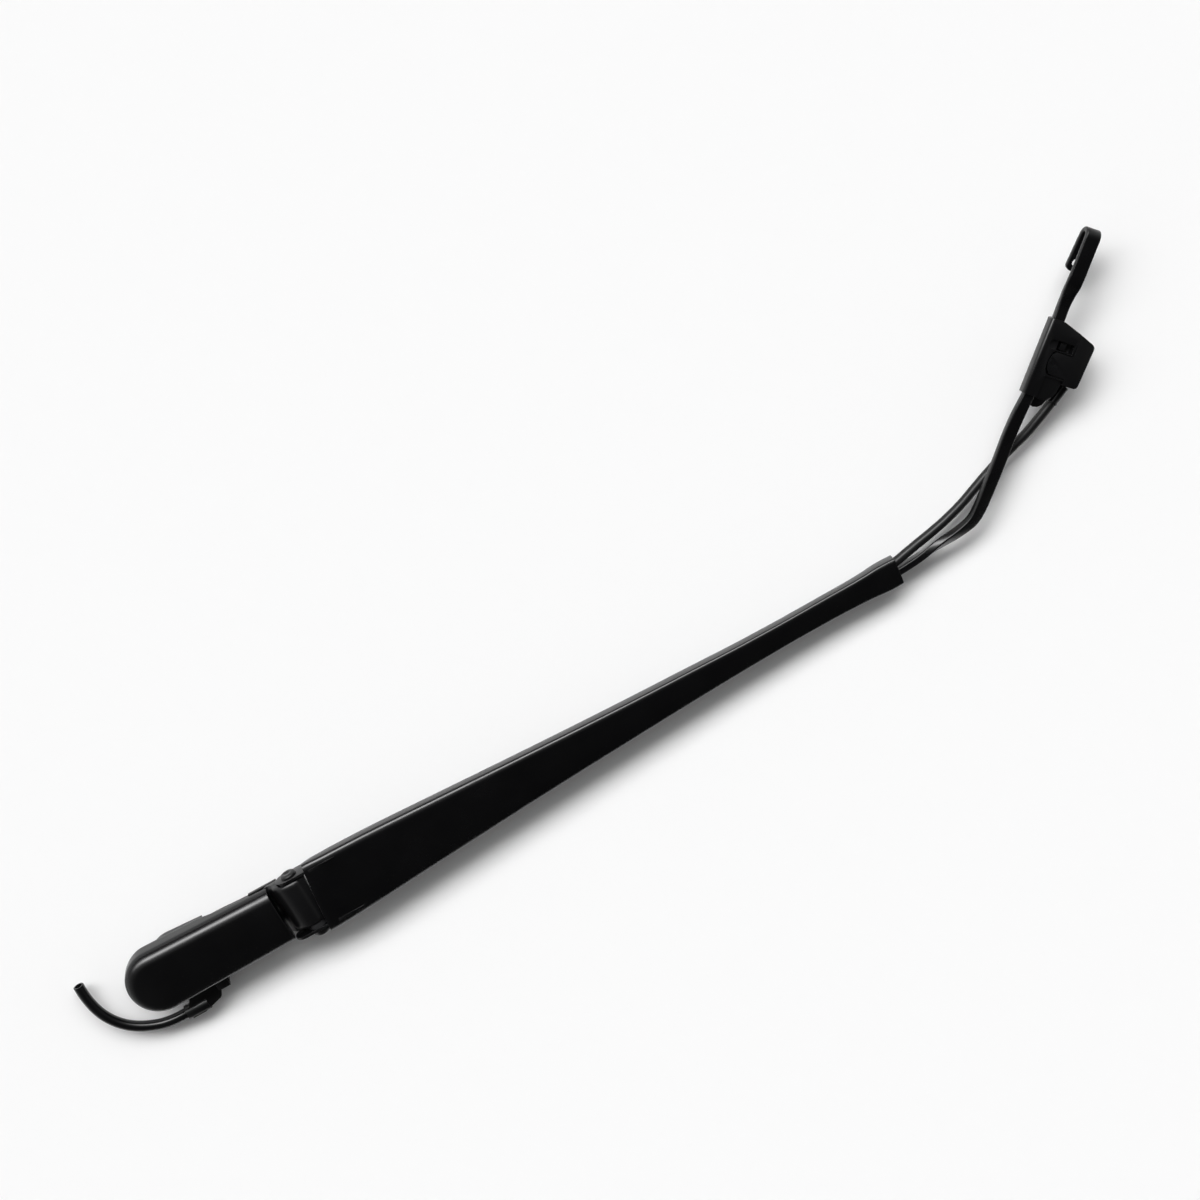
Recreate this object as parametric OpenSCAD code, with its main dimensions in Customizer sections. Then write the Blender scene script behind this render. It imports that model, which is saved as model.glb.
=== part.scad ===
// Windscreen wiper arm with a built-in washer feed.
// Origin on the spindle bore's axis at the hub's foot, +X out along the arm, +Z up.
// The hub's foot is the lowest point. Lengths in millimetres.

/* [Head] */
// Spindle bore radius
bore_r = 5; // [4:0.1:6]
// Hub outer radius
hub_r = 12; // [11:0.5:12.5]
// Hub height, where the spindle nut seats
hub_h = 14; // [12:0.5:15]
// Radius of the head's round end and half its width there
head_r = 18.5; // [18:0.1:19]
// Half width of the cover at its shoulder
shoulder_w = 17; // [16.6:0.1:17.1]
// Where the cover's round end is centred, behind the spindle
round_back = 11; // [10:0.5:12]
// Distance from spindle to the cover's shoulder
shoulder_x = 68; // [66:0.5:68.5]
// Top of the cover above the hub's foot
head_top = 26; // [25:0.5:27]
// Wall of the cover
cover_wall = 1.8; // [1.5:0.1:2]
// Radius of the cover's upper edge
cover_edge = 3; // [2.5:0.5:4]
// Rise of the cover's top over its upper edge
crown = 1.2; // [1:0.1:1.5]
// Height of the cover's skirt over the hub
skirt_z = 11; // [11:0.5:12]
// Distance from spindle to the cover's hinge
flip_x = 62; // [61.5:0.5:62.5]
// Height of the cover's hinge
flip_z = 20; // [19.8:0.1:20.2]
// Radius of the cover's hinge stubs
stub_r = 1.5; // [1.2:0.1:1.8]
// Wall of the die-casting
cast_wall = 2; // [1.8:0.1:2.4]

/* [Hinge] */
// Distance from spindle to the folding hinge
hinge_x = 83; // [82:0.5:84]
// Height of the folding hinge
hinge_z = 18; // [17.5:0.5:18.5]
// Hinge pin radius
pin_r = 3.5; // [3:0.1:4]
// Radius of the pin's riveted heads
pin_head_r = 4.8; // [4.4:0.1:5.5]
// How far the pin's near head stands out of its ear
pin_head_h = 3.6; // [2:0.1:4.2]
// How far the pin's far head stands out of its ear
pin_far_h = 1.2; // [1:0.1:2]
// Radius of the casting's knuckle
knuckle_r = 7; // [6.6:0.1:7.2]
// Half width of the knuckle
knuckle_w = 15.2; // [14.8:0.1:15.8]
// Wall of the hinge bushes
bush_wall = 1; // [0.8:0.1:1.4]
// Top of the ears above the hub's foot
ear_top = 24.6; // [24.2:0.1:25]
// Inner face of the arm's far ear from the middle
ear_far = 15.8; // [15.7:0.1:16]
// Inner face of the arm's near ear from the middle
ear_near = 18; // [17.8:0.1:18.2]
// Sheet thickness of the ears
ear_t = 1.6; // [1.4:0.1:1.8]
// Running clearance of the hinge pin and the cover's stubs, on the radius
running = 0.04; // [0.02:0.01:0.08]

/* [Channel] */
// Sheet thickness of the channel
sheet = 1.2; // [1.1:0.1:1.3]
// Outer corner radius of the channel
corner_r = 3.6; // [3:0.2:4]
// Distance from spindle to the channel's first edge
channel_x = 90.5; // [90:0.5:91]
// Distance from spindle to the channel's outer end
channel_end = 471.5; // [470:0.5:472]
// Half width of the channel at the hinge
wide_half = 22.3; // [22:0.1:22.6]
// Half width of the channel at its neck
neck_half = 7; // [7:0.1:7.2]
// Half width of the flared end
flare_half = 8.5; // [8.5:0.1:9]
// Height of the channel's top at the hinge
channel_top = 26; // [25.5:0.5:26.5]
// Height of the channel's top at its outer end
end_top = 16.6; // [16.4:0.2:17]

/* [Rod and hook] */
// Width of the forged rod
rod_w = 6.8; // [6.4:0.1:7]
// Thickness of the forged rod
rod_t = 4.5; // [4:0.1:4.6]
// Width of the hook's strap
strap_w = 9; // [8.8:0.1:9.2]
// Thickness of the hook's strap
strap_t = 3; // [2.8:0.1:3.4]
// Mean radius of the hook's bend
hook_r = 3.9; // [3.6:0.1:4.4]
// Radius of the hole in the hook's short leg
hook_hole_r = 2.1; // [1.8:0.1:2.4]

/* [Washer feed] */
// Outer radius of the washer hose
hose_r = 2.8; // [2.6:0.1:2.8]
// Radius of the hose's bore
hose_bore_r = 1.6; // [1.4:0.1:1.8]
// Outer radius of the inlet pipe
inlet_r = 3.15; // [3:0.05:3.3]
// Bore radius of the inlet pipe
inlet_bore_r = 2.1; // [1.8:0.1:2.2]
// Outer radius of the sleeve on the hose at the jet
sleeve_r = 3.3; // [3.2:0.1:3.5]
// Length of that sleeve
sleeve_len = 13; // [11:0.5:14]
// Spigot radius of the connector in the casting's wall
spigot_r = 2.3; // [2.1:0.1:2.4]

/* [Spring] */
// Outer radius of the tension spring
spring_r = 4.6; // [4.2:0.1:4.8]
// Wire radius of the spring and its hooks
wire_r = 0.95; // [0.8:0.05:1]
// Turns of the spring
spring_turns = 37; // [30:1:38]
// Radius of the link's pin
link_pin_r = 1.5; // [1.3:0.1:1.7]

/* [Jet] */
// Length of the jet housing along the rod
jet_len = 43.5; // [42:0.5:44]
// Top of the jet above the hub's foot
jet_top = 23; // [22.5:0.5:24]
// Foot of the jet above the hub's foot
jet_foot = 8; // [7:0.5:9]
// Wall of the jet beside the rod
jet_wall = 1.6; // [1.4:0.1:1.8]
// Reach of the jet beside the rod
jet_reach = 25.4; // [24:0.2:26]
// Radius of the spray nozzles
nozzle_r = 1.8; // [1.5:0.1:2]

/* [Hidden] */
$fn = 48;
seat = 0.02;
gap = 0.3;
bush_r = pin_r + running + bush_wall;
far_out = ear_far + ear_t;
near_out = ear_near + ear_t;
cover_in = shoulder_w - cover_wall;
crown_in = 10;
block_x = 26;
lug_r = 2.4;
lug_in = 9;
lug_out = cover_in - 1.6;
neck_z = 10.3;
plate_z = 8;
leg_in = 10.6;
leg_out = 12.6;
leg_foot = 1.5;
ear_r = 6.1;
ear_foot = ear_top - 2 * ear_r;
ear_lap = 29;
lip_half = knuckle_w - 0.6;
far_nose = 8.5;
near_nose = 15;
link_x = 74;
link_z = 5.2;
link_half = 1;
fork_in = 1.6;
fork_out = 3.6;
spring_x0 = 104;
spring_z0 = 8.9;
spring_x1 = 181;
spring_z1 = 18.2;
spring_tilt = atan2(spring_z1 - spring_z0, spring_x1 - spring_x0);
spring_len = norm([spring_x1 - spring_x0, spring_z1 - spring_z0]);
loop_r = 3.3;
loop_back = 1.8;
eye_back = loop_back + loop_r + 0.2;
eye_r = 3;
eye_hole_r = 1.5;
joiner_x = 112;
joiner_y = -10;
joiner_z = 16.6;
collar_half = 4;
barb_len = 7;
jet_at = [580.1, 59.1];
jet_turn = 43.6;
rod_z = 18.75;
parting = 15;
hook_from = 66;
hook_side = 1.3;
hook_bend = 91.1;
hook_z = 24.5;
hook_splay = 8;
leg_len = 21;
hook_hole_s = hook_bend - 15.5;
feed_at = [602.3, 50.2, 12];
feed_turn = 27;
spigot_x = 16;
spigot_z = 5;
inlet_y = -31.8;
inlet_z = 9;
black = [0.05, 0.05, 0.055];
plastic = [0.08, 0.08, 0.085];
rubber = [0.11, 0.11, 0.115];
steel = [0.55, 0.56, 0.58];

// Stations of the channel: distance, half width, middle, top, foot, skew of the section
channel_stations = [
    [channel_x, wide_half, -1.2, channel_top, 18.5, 0.12],
    [100, 21.9, -1.2, 26, 17.3, 0.11],
    [112, 21.4, -1, 25.9, 16.4, 0.10],
    [133, 20.3, -0.5, 25.7, 16, 0.07],
    [174, 17.7, 0.1, 25.2, 15.8, 0.03],
    [235, 13.9, 0.7, 24.2, 15.2, 0],
    [296, 10.6, 0.9, 22.8, 13.6, 0],
    [340, 8.7, 1.1, 21.5, 12.6, 0],
    [377, 7.4, 1, 20.2, 11.7, 0],
    [405, neck_half, 1, 19.1, 10.9, 0],
    [425, neck_half + 0.1, 0.9, 18.3, 10.3, 0],
    [444, neck_half + 0.4, 0.5, 17.5, 9.4, 0],
    [453, neck_half + 0.8, 0.3, 17.2, 8.6, 0.03],
    [460, flare_half - 0.1, 0.1, 17, 7.8, 0.05],
    [466, flare_half, -0.1, 16.8, 7.4, 0.06],
    [channel_end, flare_half - 0.2, -0.2, end_top, 7.2, 0.06]
];

// Stations of the rod and hook: position, heading, width, thickness, roll, rise
rod_stations = [
    [[412, -2.5, 11.2], 0, rod_w, rod_t, 90, 0],
    [[440, -2.6, 10.7], 0, rod_w, rod_t, 90, 0],
    [[458, -2.3, 10.4], 2, rod_w, rod_t, 90, 1],
    [[472, -1.8, 10.5], 4, rod_w, rod_t, 90, 3],
    [[481, -1, 11], 6, rod_w, rod_t, 88, 4],
    [[488, -0.2, 11.5], 7.5, rod_w, rod_t, 80, 5],
    [[494, 0.7, 12.1], 8.5, rod_w, rod_t, 64, 6],
    [[500, 1.6, 12.7], 9, rod_w, rod_t, 50, 5],
    [[506, 2.5, 13.2], 9, rod_w, rod_t, 40, 5],
    [[511, 3.4, 13.6], 11, rod_w, rod_t, 32, 4],
    [[516, 4.6, 13.9], 16, rod_w, rod_t, 26, 4],
    [[520, 6, 14.2], 24, rod_w, rod_t, 21, 4],
    [[524, 8.3, 14.5], 34, rod_w, rod_t, 17, 4],
    [[528, 11.5, 14.8], 40, rod_w, rod_t, 13, 4],
    [[533, 16, 15.1], 43, rod_w, rod_t, 9, 4],
    [[540, 22.7, 15.6], jet_turn, rod_w, rod_t, 5, 4],
    [[550, 32.2, 16.3], jet_turn, rod_w, rod_t, 2, 4]
];

// Point on the feed line into the jet, at a distance back from it
function feed(d) = feed_at - d * [cos(feed_turn), sin(feed_turn), 0];

// Middle line of the washer hose from the joiner to the sleeve
hose_points = [
    [joiner_x + 4.2, joiner_y, joiner_z], [joiner_x + 8, joiner_y, joiner_z],
    [joiner_x + 13, joiner_y, joiner_z], [133, -9.8, 16.5],
    [145, -9.2, 16.4], [160, -8.4, 16.4], [178, -7.4, 16.5], [196, -6.4, 16.6],
    [214, -5.4, 16.7], [234, -4.2, 16.6], [254, -3, 16.4], [274, -1.9, 16.2],
    [294, -0.9, 15.9], [314, 0, 15.5], [334, 0.9, 15], [352, 1.5, 14.5],
    [370, 2, 14], [388, 2.4, 13.4], [402, 2.6, 12.8], [416, 2.7, 12.3],
    [430, 2.7, 12], [444, 2.8, 11.8], [456, 3.1, 11.6], [464, 3.4, 11.5], [472, 4.1, 11.4],
    [481, 5.9, 11.1], [490, 7.6, 10.6], [499, 9.2, 10.1], [509, 11.5, 9.7], [521, 15.2, 9.3],
    [532, 19.8, 9.1], [542, 24.1, 9.1], [552, 28, 9.2], [563, 31.8, 9.6], [573, 35.4, 10.3],
    feed(24) - [0, 0, 0.8], feed(18) - [0, 0, 0.2], feed(12), feed(5.5)
];

// Middle line of the hose from the connector's elbow under the hinge to the joiner
hinge_hose_points = [
    [spigot_x + 8, -7.4, spigot_z], [spigot_x + 12, -7.4, spigot_z], [spigot_x + 16, -7.4, spigot_z],
    [38, -7.3, 4.9], [45, -7.2, 4.6], [52, -7.2, 4.5], [59, -7.2, 4.5], [66, -7.2, 4.6],
    [73, -7.2, 4.9], [79, -7.4, 5.8], [85, -7.8, 7.5], [90, -8.4, 9.7], [94.5, -9, 12.1],
    [98.5, -9.6, 14.5], [102, -9.9, 16], [105, joiner_y, joiner_z],
    [joiner_x - 4.2, joiner_y, joiner_z]
];

// Middle line of the inlet pipe from the connector to its bare end
inlet_points = [
    [-2, inlet_y, inlet_z], [-8, inlet_y, inlet_z], [-14, inlet_y, 9], [-19.6, -31.5, 9],
    [-25, -30.7, 8.9], [-30, -29.2, 8.7], [-35, -27, 8.6], [-39.6, -24.3, 8.5],
    [-43.8, -20.9, 8.4], [-47.4, -16.8, 8.3], [-50.3, -12.2, 8.2], [-52.5, -7.2, 8.1],
    [-53.9, -1.9, 8], [-54.6, 3.6, 8], [-54.8, 9, 8], [-54.5, 15.4, 8]
];

// Points of an arc in a plane
function arc(cx, cy, r, a0, a1, n) =
    [for (i = [0:n]) let (a = a0 + (a1 - a0) * i / n) [cx + r * cos(a), cy + r * sin(a)]];

// Outline of an upside-down trough with rounded corners, as y and z pairs
function trough(half, mid, top, foot, r, t) = concat(
    [[mid + half, foot]],
    arc(mid + half - r, top - r, r, 0, 90, 6),
    arc(mid - half + r, top - r, r, 90, 180, 6),
    [[mid - half, foot], [mid - half + t, foot]],
    arc(mid - half + r, top - r, r - t, 180, 90, 6),
    arc(mid + half - r, top - r, r - t, 90, 0, 6),
    [[mid + half - t, foot]]
);

// One ring of the channel, leaning in plan by its skew
function channel_ring(s) =
    [for (p = trough(s[1], s[2], s[3], s[4], corner_r, sheet)) [s[0] + s[5] * p[0], p[0], p[1]]];

// One ring of a flat bar: a rectangle with small chamfers, turned by heading, rise and roll
function bar_ring(s) = let (
    h = [-sin(s[1]), cos(s[1]), 0],
    v = [-sin(s[5]) * cos(s[1]), -sin(s[5]) * sin(s[1]), cos(s[5])],
    w = h * cos(s[4]) + v * sin(s[4]),
    u = v * cos(s[4]) - h * sin(s[4]),
    a = s[2] / 2,
    b = s[3] / 2,
    c = 0.5
) [for (p = [[a, -b + c], [a, b - c], [a - c, b], [c - a, b], [-a, b - c], [-a, c - b], [c - a, -b], [a - c, -b]])
    s[0] + w * p[0] + u * p[1]];

// Position in the jet's frame: along the rod, up, across
function along(s, z, q = 0) = [
    jet_at[0] + s * cos(jet_turn) - q * sin(jet_turn),
    jet_at[1] + s * sin(jet_turn) + q * cos(jet_turn),
    z
];

// Station on the hook's bend at an angle, and beyond it along the short leg
function bend(a, w, reach = 0) = [
    along(
        hook_bend + hook_r * sin(a) + reach * cos(a),
        hook_z - hook_r + hook_r * cos(a) - reach * sin(a),
        hook_side
    ),
    jet_turn, w, strap_t, 0, -a
];

// Stations of the straight rod, the joggle and the hook
function hook_stations() = concat(
    [
        [along(-28, rod_z - 1.65, 1.3), jet_turn, rod_w, rod_t, 0, 4],
        [along(-14, rod_z - 0.65, 1.1), jet_turn, rod_w, rod_t, 0, 3],
        [along(-7, rod_z - 0.15, 0.5), jet_turn, rod_w, rod_t, 0, 1],
        [along(-2, rod_z), jet_turn, rod_w, rod_t, 0, 0],
        [along(51, rod_z), jet_turn, rod_w, rod_t, 0, 3],
        [along(55, rod_z + 0.7, 0.2), jet_turn, rod_w + 0.4, rod_t - 0.3, 0, 18],
        [along(60.5, hook_z - 2.6, 0.9), jet_turn, strap_w - 0.6, strap_t + 0.4, 0, 30],
        [along(hook_from - 1, hook_z - 0.4, hook_side), jet_turn, strap_w, strap_t, 0, 12],
        [along(hook_from + 3, hook_z, hook_side), jet_turn, strap_w, strap_t, 0, 0]
    ],
    [for (i = [0:12]) bend(i * (180 - hook_splay) / 12, strap_w)],
    [bend(180 - hook_splay, strap_w, leg_len - 2.4), bend(180 - hook_splay, strap_w - 4, leg_len)]
);

// Rings of a round tube along points, ten corners each
function tube_rings(points, r, n) = let (last = len(points) - 1) [for (i = [0:last]) let (
    t = points[min(i + 1, last)] - points[max(i - 1, 0)],
    d = t / norm(t),
    h = cross([0, 0, 1], d) / norm(cross([0, 0, 1], d)),
    v = cross(d, h)
) [for (k = [0:n - 1]) points[i] + r * (h * cos(360 * k / n) + v * sin(360 * k / n))]];

// Faces that close a ring, as one face or as strips across a folded section
function cap(n, first, folded) = folded
    ? [for (i = [0:n / 2 - 2]) each [
        [first + i, first + i + 1, first + n - 2 - i],
        [first + i, first + n - 2 - i, first + n - 1 - i]
    ]]
    : [[for (i = [0:n - 1]) first + i]];

// The same faces seen from the other side
function turned(faces) = [for (f = faces) [for (i = [len(f) - 1:-1:0]) f[i]]];

// A closed skin through rings that all have the same number of points
module loft(rings, folded = false) {
    n = len(rings[0]);
    m = len(rings);
    sides = [for (j = [0:m - 2], i = [0:n - 1], side = [0, 1]) let (
        a = j * n + i,
        b = j * n + (i + 1) % n
    ) side == 0 ? [a, b + n, b] : [a, a + n, b + n]];
    polyhedron(
        points = [for (ring = rings) for (p = ring) p],
        faces = concat(cap(n, 0, folded), sides, turned(cap(n, (m - 1) * n, folded))),
        convexity = 10
    );
}

// A cylinder along Y between two sides
module across(x, z, y0, y1, r) {
    translate([x, y0, z]) rotate([-90, 0, 0]) cylinder(h = y1 - y0, r = r);
}

// A flat outline in X and Z, drawn through from one side to the other
module side_plate(points, y0, y1) {
    translate([0, y1, 0]) rotate([90, 0, 0]) linear_extrude(height = y1 - y0) polygon(points);
}

// A box between two corners
module block(a, b) {
    translate(a) cube(b - a);
}

// Moves to the jet's own frame: along the rod, across it, up
module at_jet() {
    translate([jet_at[0], jet_at[1], 0]) rotate([0, 0, jet_turn]) children();
}

// Value of one column of the channel's stations at a distance from the spindle
function channel_at(x, column) = lookup(x, [for (s = channel_stations) [s[0], s[column]]]);

// Ring of the knuckle's outline at a share of its half width, drawn in by a factor
function knuckle_ring(share, factor) = let (
    outline = concat(
        [[64, 9], [64, 11.2], [66, 12], [68, 13.6], [69.6, 16], [70.4, 18.4], [71.5, 20.5], [73.2, 22.2],
            [75.4, 23.6], [77.6, 24.5], [79.6, 24.9]],
        arc(hinge_x, hinge_z, knuckle_r, 90, -90, 12),
        [[78, 9.6], [74, 8.6]]
    ),
    middle = [hinge_x - 3, hinge_z - 1]
) [for (p = outline) let (q = middle + (p - middle) * factor) [q[0], share * knuckle_w, q[1]]];

// Solid knuckle of the head, rounded at both ends
module knuckle() {
    ends = [[1, 0.76], [0.985, 0.84], [0.94, 0.92], [0.87, 0.975], [0.78, 1]];
    loft(concat(
        [for (e = ends) knuckle_ring(-e[0], e[1])],
        [for (i = [len(ends) - 1:-1:0]) knuckle_ring(ends[i][0], ends[i][1])]
    ));
}

// Die-cast head: hub, walled block, ribbed neck, cover lugs, link fork and knuckle
module head_casting() {
    block_top = skirt_z - gap;
    color(black) difference() {
        union() {
            difference() {
                union() {
                    translate([3, 0, 4]) cylinder(h = block_top - 4, r = 17);
                    translate([0, 0, 4]) linear_extrude(height = block_top - 4)
                        polygon([[3, -17], [block_x, -15.6], [block_x, 15.6], [3, 17]]);
                }
                translate([3, 0, 3]) cylinder(h = block_top - cast_wall - 3, r = 17 - cast_wall);
                translate([0, 0, 3]) linear_extrude(height = block_top - cast_wall - 3)
                    polygon([
                        [3, cast_wall - 17], [block_x + 1, cast_wall - 15.5],
                        [block_x + 1, 15.5 - cast_wall], [3, 17 - cast_wall]
                    ]);
            }
            cylinder(h = hub_h, r = hub_r);
            for (side = [-1, 1]) side_plate(
                [[10, leg_foot], [34, leg_foot], [74, plate_z - 1.8], [74, neck_z], [10, neck_z]],
                side > 0 ? leg_in : -leg_out, side > 0 ? leg_out : -leg_in
            );
            block([24, -leg_out, plate_z], [74, leg_out, neck_z]);
            block([flip_x - 6, -knuckle_w, plate_z], [74, knuckle_w, neck_z]);
            for (side = [-1, 1]) {
                across(flip_x, flip_z, side > 0 ? lug_in : -lug_out, side > 0 ? lug_out : -lug_in, lug_r);
                block(
                    [flip_x - 7, side > 0 ? lug_in : -lug_out, neck_z - 1],
                    [flip_x - 2, side > 0 ? lug_out : -lug_in, flip_z + 1]
                );
                across(link_x, link_z, side > 0 ? fork_in : -fork_out, side > 0 ? fork_out : -fork_in, 2.6);
                block(
                    [link_x - 2.2, side > 0 ? fork_in : -fork_out, link_z],
                    [link_x + 2.2, side > 0 ? fork_out : -fork_in, plate_z + 1.5]
                );
            }
            knuckle();
            side_plate(
                [[flip_x, plate_z], [flip_x, 11], [64, 11.2], [66, 12], [68, 13.6], [69.6, 16], [74, 16], [74, plate_z]],
                1 - ear_near, 0
            );
            translate([hinge_x, 0, hinge_z - 1]) linear_extrude(height = 6.2)
                polygon([[0, -lip_half], [5.4, -lip_half], [8.4, lip_half], [0, lip_half]]);
        }
        translate([0, 0, -1]) cylinder(h = hub_h + 2, r = bore_r);
        across(hinge_x, hinge_z, -knuckle_w - 1, knuckle_w + 1, bush_r + seat);
        across(flip_x, flip_z, -lug_out - 1, lug_out + 1, stub_r + running);
        across(link_x, link_z, -fork_out - 1, fork_out + 1, link_pin_r + seat);
        block([spigot_x - 2.6, -20, 0], [spigot_x + 2.6, -leg_in + 1, spigot_z + 2.7]);
    }
}

// Outer or inner body of the cover, drawn in by a wall
module cover_body(wall) {
    edge = cover_edge - wall;
    hull() {
        translate([-round_back, 0, head_top - crown - cover_edge]) rotate_extrude($fn = 64)
            translate([head_r - cover_edge, 0]) intersection() {
                circle(r = edge, $fn = 32);
                translate([0, -edge]) square([edge, 2 * edge]);
            }
        translate([-round_back, 0, 0]) cylinder(h = 10, r = head_r - wall, $fn = 64);
        translate([-round_back, 0, 0]) cylinder(h = head_top - wall, r = head_r - crown_in, $fn = 32);
        block([shoulder_x - wall - 1, crown_in - shoulder_w, 0], [shoulder_x - wall, shoulder_w - crown_in, head_top - wall]);
        for (side = [-1, 1]) {
            translate([shoulder_x - wall - 1, side * (shoulder_w - cover_edge), head_top - crown - cover_edge])
                rotate([0, 90, 0]) cylinder(h = 1, r = edge, $fn = 32);
            translate([shoulder_x - wall - 1, side * (shoulder_w - wall) - 0.5 - side * 0.5, 0]) cube([1, 1, 10]);
        }
    }
}

// Flip-up cover over the spindle nut, hinged on two stubs inside its sides
module nut_cover() {
    color(black) {
        difference() {
            cover_body(0);
            cover_body(cover_wall);
            side_plate(
                [
                    [-40, -1], [-40, 16], [-31, 15.6], [-28, 15.2], [-13, skirt_z], [25.5, skirt_z],
                    [26.5, skirt_z + 0.7], [flip_x, 17.2], [shoulder_x + 9, 17.6], [shoulder_x + 9, -1]
                ],
                -head_r - 5, head_r + 5
            );
        }
        for (side = [-1, 1]) {
            across(
                flip_x, flip_z,
                side > 0 ? lug_in + 0.5 : -cover_in - 0.6,
                side > 0 ? cover_in + 0.6 : -lug_in - 0.5,
                stub_r
            );
            across(
                flip_x, flip_z,
                side > 0 ? lug_out + gap : -cover_in - 0.6,
                side > 0 ? cover_in + 0.6 : -lug_out - gap,
                stub_r + 1
            );
        }
    }
}

// One flanged bush of the folding hinge, reaching out to the ear beside it
module hinge_bush(side, ear) {
    color(plastic) rotate([0, 0, side > 0 ? 0 : 180]) translate([side * hinge_x, 0, 0]) difference() {
        union() {
            across(0, hinge_z, 4, knuckle_w + 0.05, bush_r);
            across(0, hinge_z, knuckle_w + 0.05, ear - 0.05, pin_head_r + 1);
        }
        across(0, hinge_z, 3, ear + 1, pin_r + running);
    }
}

module hinge_bush_far() {
    hinge_bush(1, ear_far);
}

module hinge_bush_near() {
    hinge_bush(-1, ear_near);
}

// Riveted pin through ears and knuckle
module hinge_pin() {
    color(black) translate([hinge_x, 0, hinge_z]) rotate([-90, 0, 0]) {
        translate([0, 0, -near_out - 0.01]) cylinder(h = near_out + far_out + 0.02, r = pin_r);
        translate([0, 0, far_out]) cylinder(h = pin_far_h, r1 = pin_head_r, r2 = pin_head_r - 0.8);
        translate([0, 0, -near_out - pin_head_h + 1.2]) cylinder(h = pin_head_h - 1.2, r = pin_head_r);
        translate([0, 0, -near_out - pin_head_h]) cylinder(h = 1.2, r1 = pin_head_r - 1.2, r2 = pin_head_r);
    }
}

// Cross pin that the spring's link pulls on
module link_pin() {
    color(steel) across(link_x, link_z, -fork_out - 0.3, fork_out + 0.3, link_pin_r);
}

// Flat link from the casting's fork to the spring
module spring_link() {
    far = [spring_x0 - eye_back * cos(spring_tilt), spring_z0 - eye_back * sin(spring_tilt)];
    color(steel) difference() {
        union() {
            across(link_x, link_z, -link_half, link_half, 2.4);
            across(far[0], far[1], -link_half, link_half, eye_r);
            side_plate(
                [[link_x, link_z - 1.8], [far[0], far[1] - 2], [far[0], far[1] + 2], [link_x, link_z + 1.8]],
                -link_half, link_half
            );
        }
        across(link_x, link_z, -2, 2, link_pin_r + running);
        across(far[0], far[1], -2, 2, eye_hole_r);
    }
}

// Coiled tension spring with a closed loop at each end
module tension_spring() {
    coil_r = spring_r - wire_r;
    steps = spring_turns * 10;
    points = [for (i = [0:steps]) let (a = 36 * i)
        [coil_r * cos(a), coil_r * sin(a), wire_r + (spring_len - 2 * wire_r) * i / steps]];
    color(steel) translate([spring_x0, 0, spring_z0]) rotate([0, 90 - spring_tilt, 0]) {
        loft(tube_rings(points, wire_r, 6));
        for (z = [-loop_back, spring_len + loop_back]) translate([0, 0, z]) rotate([0, 90, 0])
            rotate_extrude($fn = 40) translate([loop_r, 0]) circle(r = wire_r, $fn = 16);
    }
}

// Bracket under the channel's top that holds the spring's outer loop
module spring_anchor() {
    eye = [
        spring_x1 + eye_back * cos(spring_tilt),
        spring_z1 + eye_back * sin(spring_tilt)
    ];
    x0 = eye[0];
    x1 = eye[0] + 15;
    z0 = channel_at(x0, 3) - sheet - seat;
    z1 = channel_at(x1, 3) - sheet - seat;
    color(steel) difference() {
        union() {
            side_plate([[x0, z0 - 1.2], [x1, z1 - 1.2], [x1, z1], [x0, z0]], -8, 8);
            across(eye[0], eye[1], -link_half, link_half, eye_r);
            side_plate([[x0, eye[1] - 2.4], [x1 - 4, eye[1] + 1], [x1 - 4, z1 - 1], [x0, z0 - 1]], -link_half, link_half);
        }
        across(eye[0], eye[1], -2, 2, eye_hole_r);
    }
}

// Outline of a hinge ear whose nose reaches back from the pin
function ear_outline(reach) = concat(
    arc(hinge_x - reach + ear_r, ear_top - ear_r, ear_r, 270, 90, 10),
    [
        [hinge_x + 11.5, ear_top], [hinge_x + 12.5, channel_top - 0.6], [hinge_x + ear_lap, channel_top - 0.6],
        [hinge_x + ear_lap, ear_foot + 5], [hinge_x + ear_r + 3, ear_foot]
    ]
);

// Pressed channel with a pair of hinge ears and a flared outer end
module arm_channel() {
    color(black) difference() {
        union() {
            loft([for (s = channel_stations) channel_ring(s)], true);
            side_plate(ear_outline(far_nose), ear_far, far_out);
            side_plate(ear_outline(near_nose), -near_out, -ear_near);
        }
        across(hinge_x, hinge_z, -near_out - 5, far_out + 5, pin_r + seat);
    }
}

// Forged rod, on edge in the channel and twisted flat, with the hook at its end
module hook_rod() {
    color(black) difference() {
        loft([for (s = concat(rod_stations, hook_stations())) bar_ring(s)]);
        translate(along(hook_hole_s, 8, hook_side)) cylinder(h = 11.5, r = hook_hole_r);
    }
}

// Barbed joiner between the hinge hose and the washer hose
module hose_joiner() {
    color(plastic) translate([joiner_x, joiner_y, joiner_z]) rotate([0, 90, 0]) difference() {
        union() {
            translate([0, 0, -collar_half]) cylinder(h = 2 * collar_half, r = hose_r + 0.2);
            translate([0, 0, -collar_half - barb_len]) cylinder(h = 2 * (collar_half + barb_len), r = hose_bore_r);
        }
        translate([0, 0, -20]) cylinder(h = 40, r = 0.8);
    }
}

// Hose stretch that bends under the folding hinge
module hinge_hose() {
    color(rubber) difference() {
        loft(tube_rings(hinge_hose_points, hose_r, 12));
        translate([spigot_x + 7, -7.4, spigot_z]) rotate([0, 90, 0]) cylinder(h = 8.2, r = hose_bore_r + seat);
        translate([joiner_x - collar_half - barb_len - 0.1, joiner_y, joiner_z]) rotate([0, 90, 0])
            cylinder(h = barb_len + 1, r = hose_bore_r + seat);
    }
}

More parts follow.
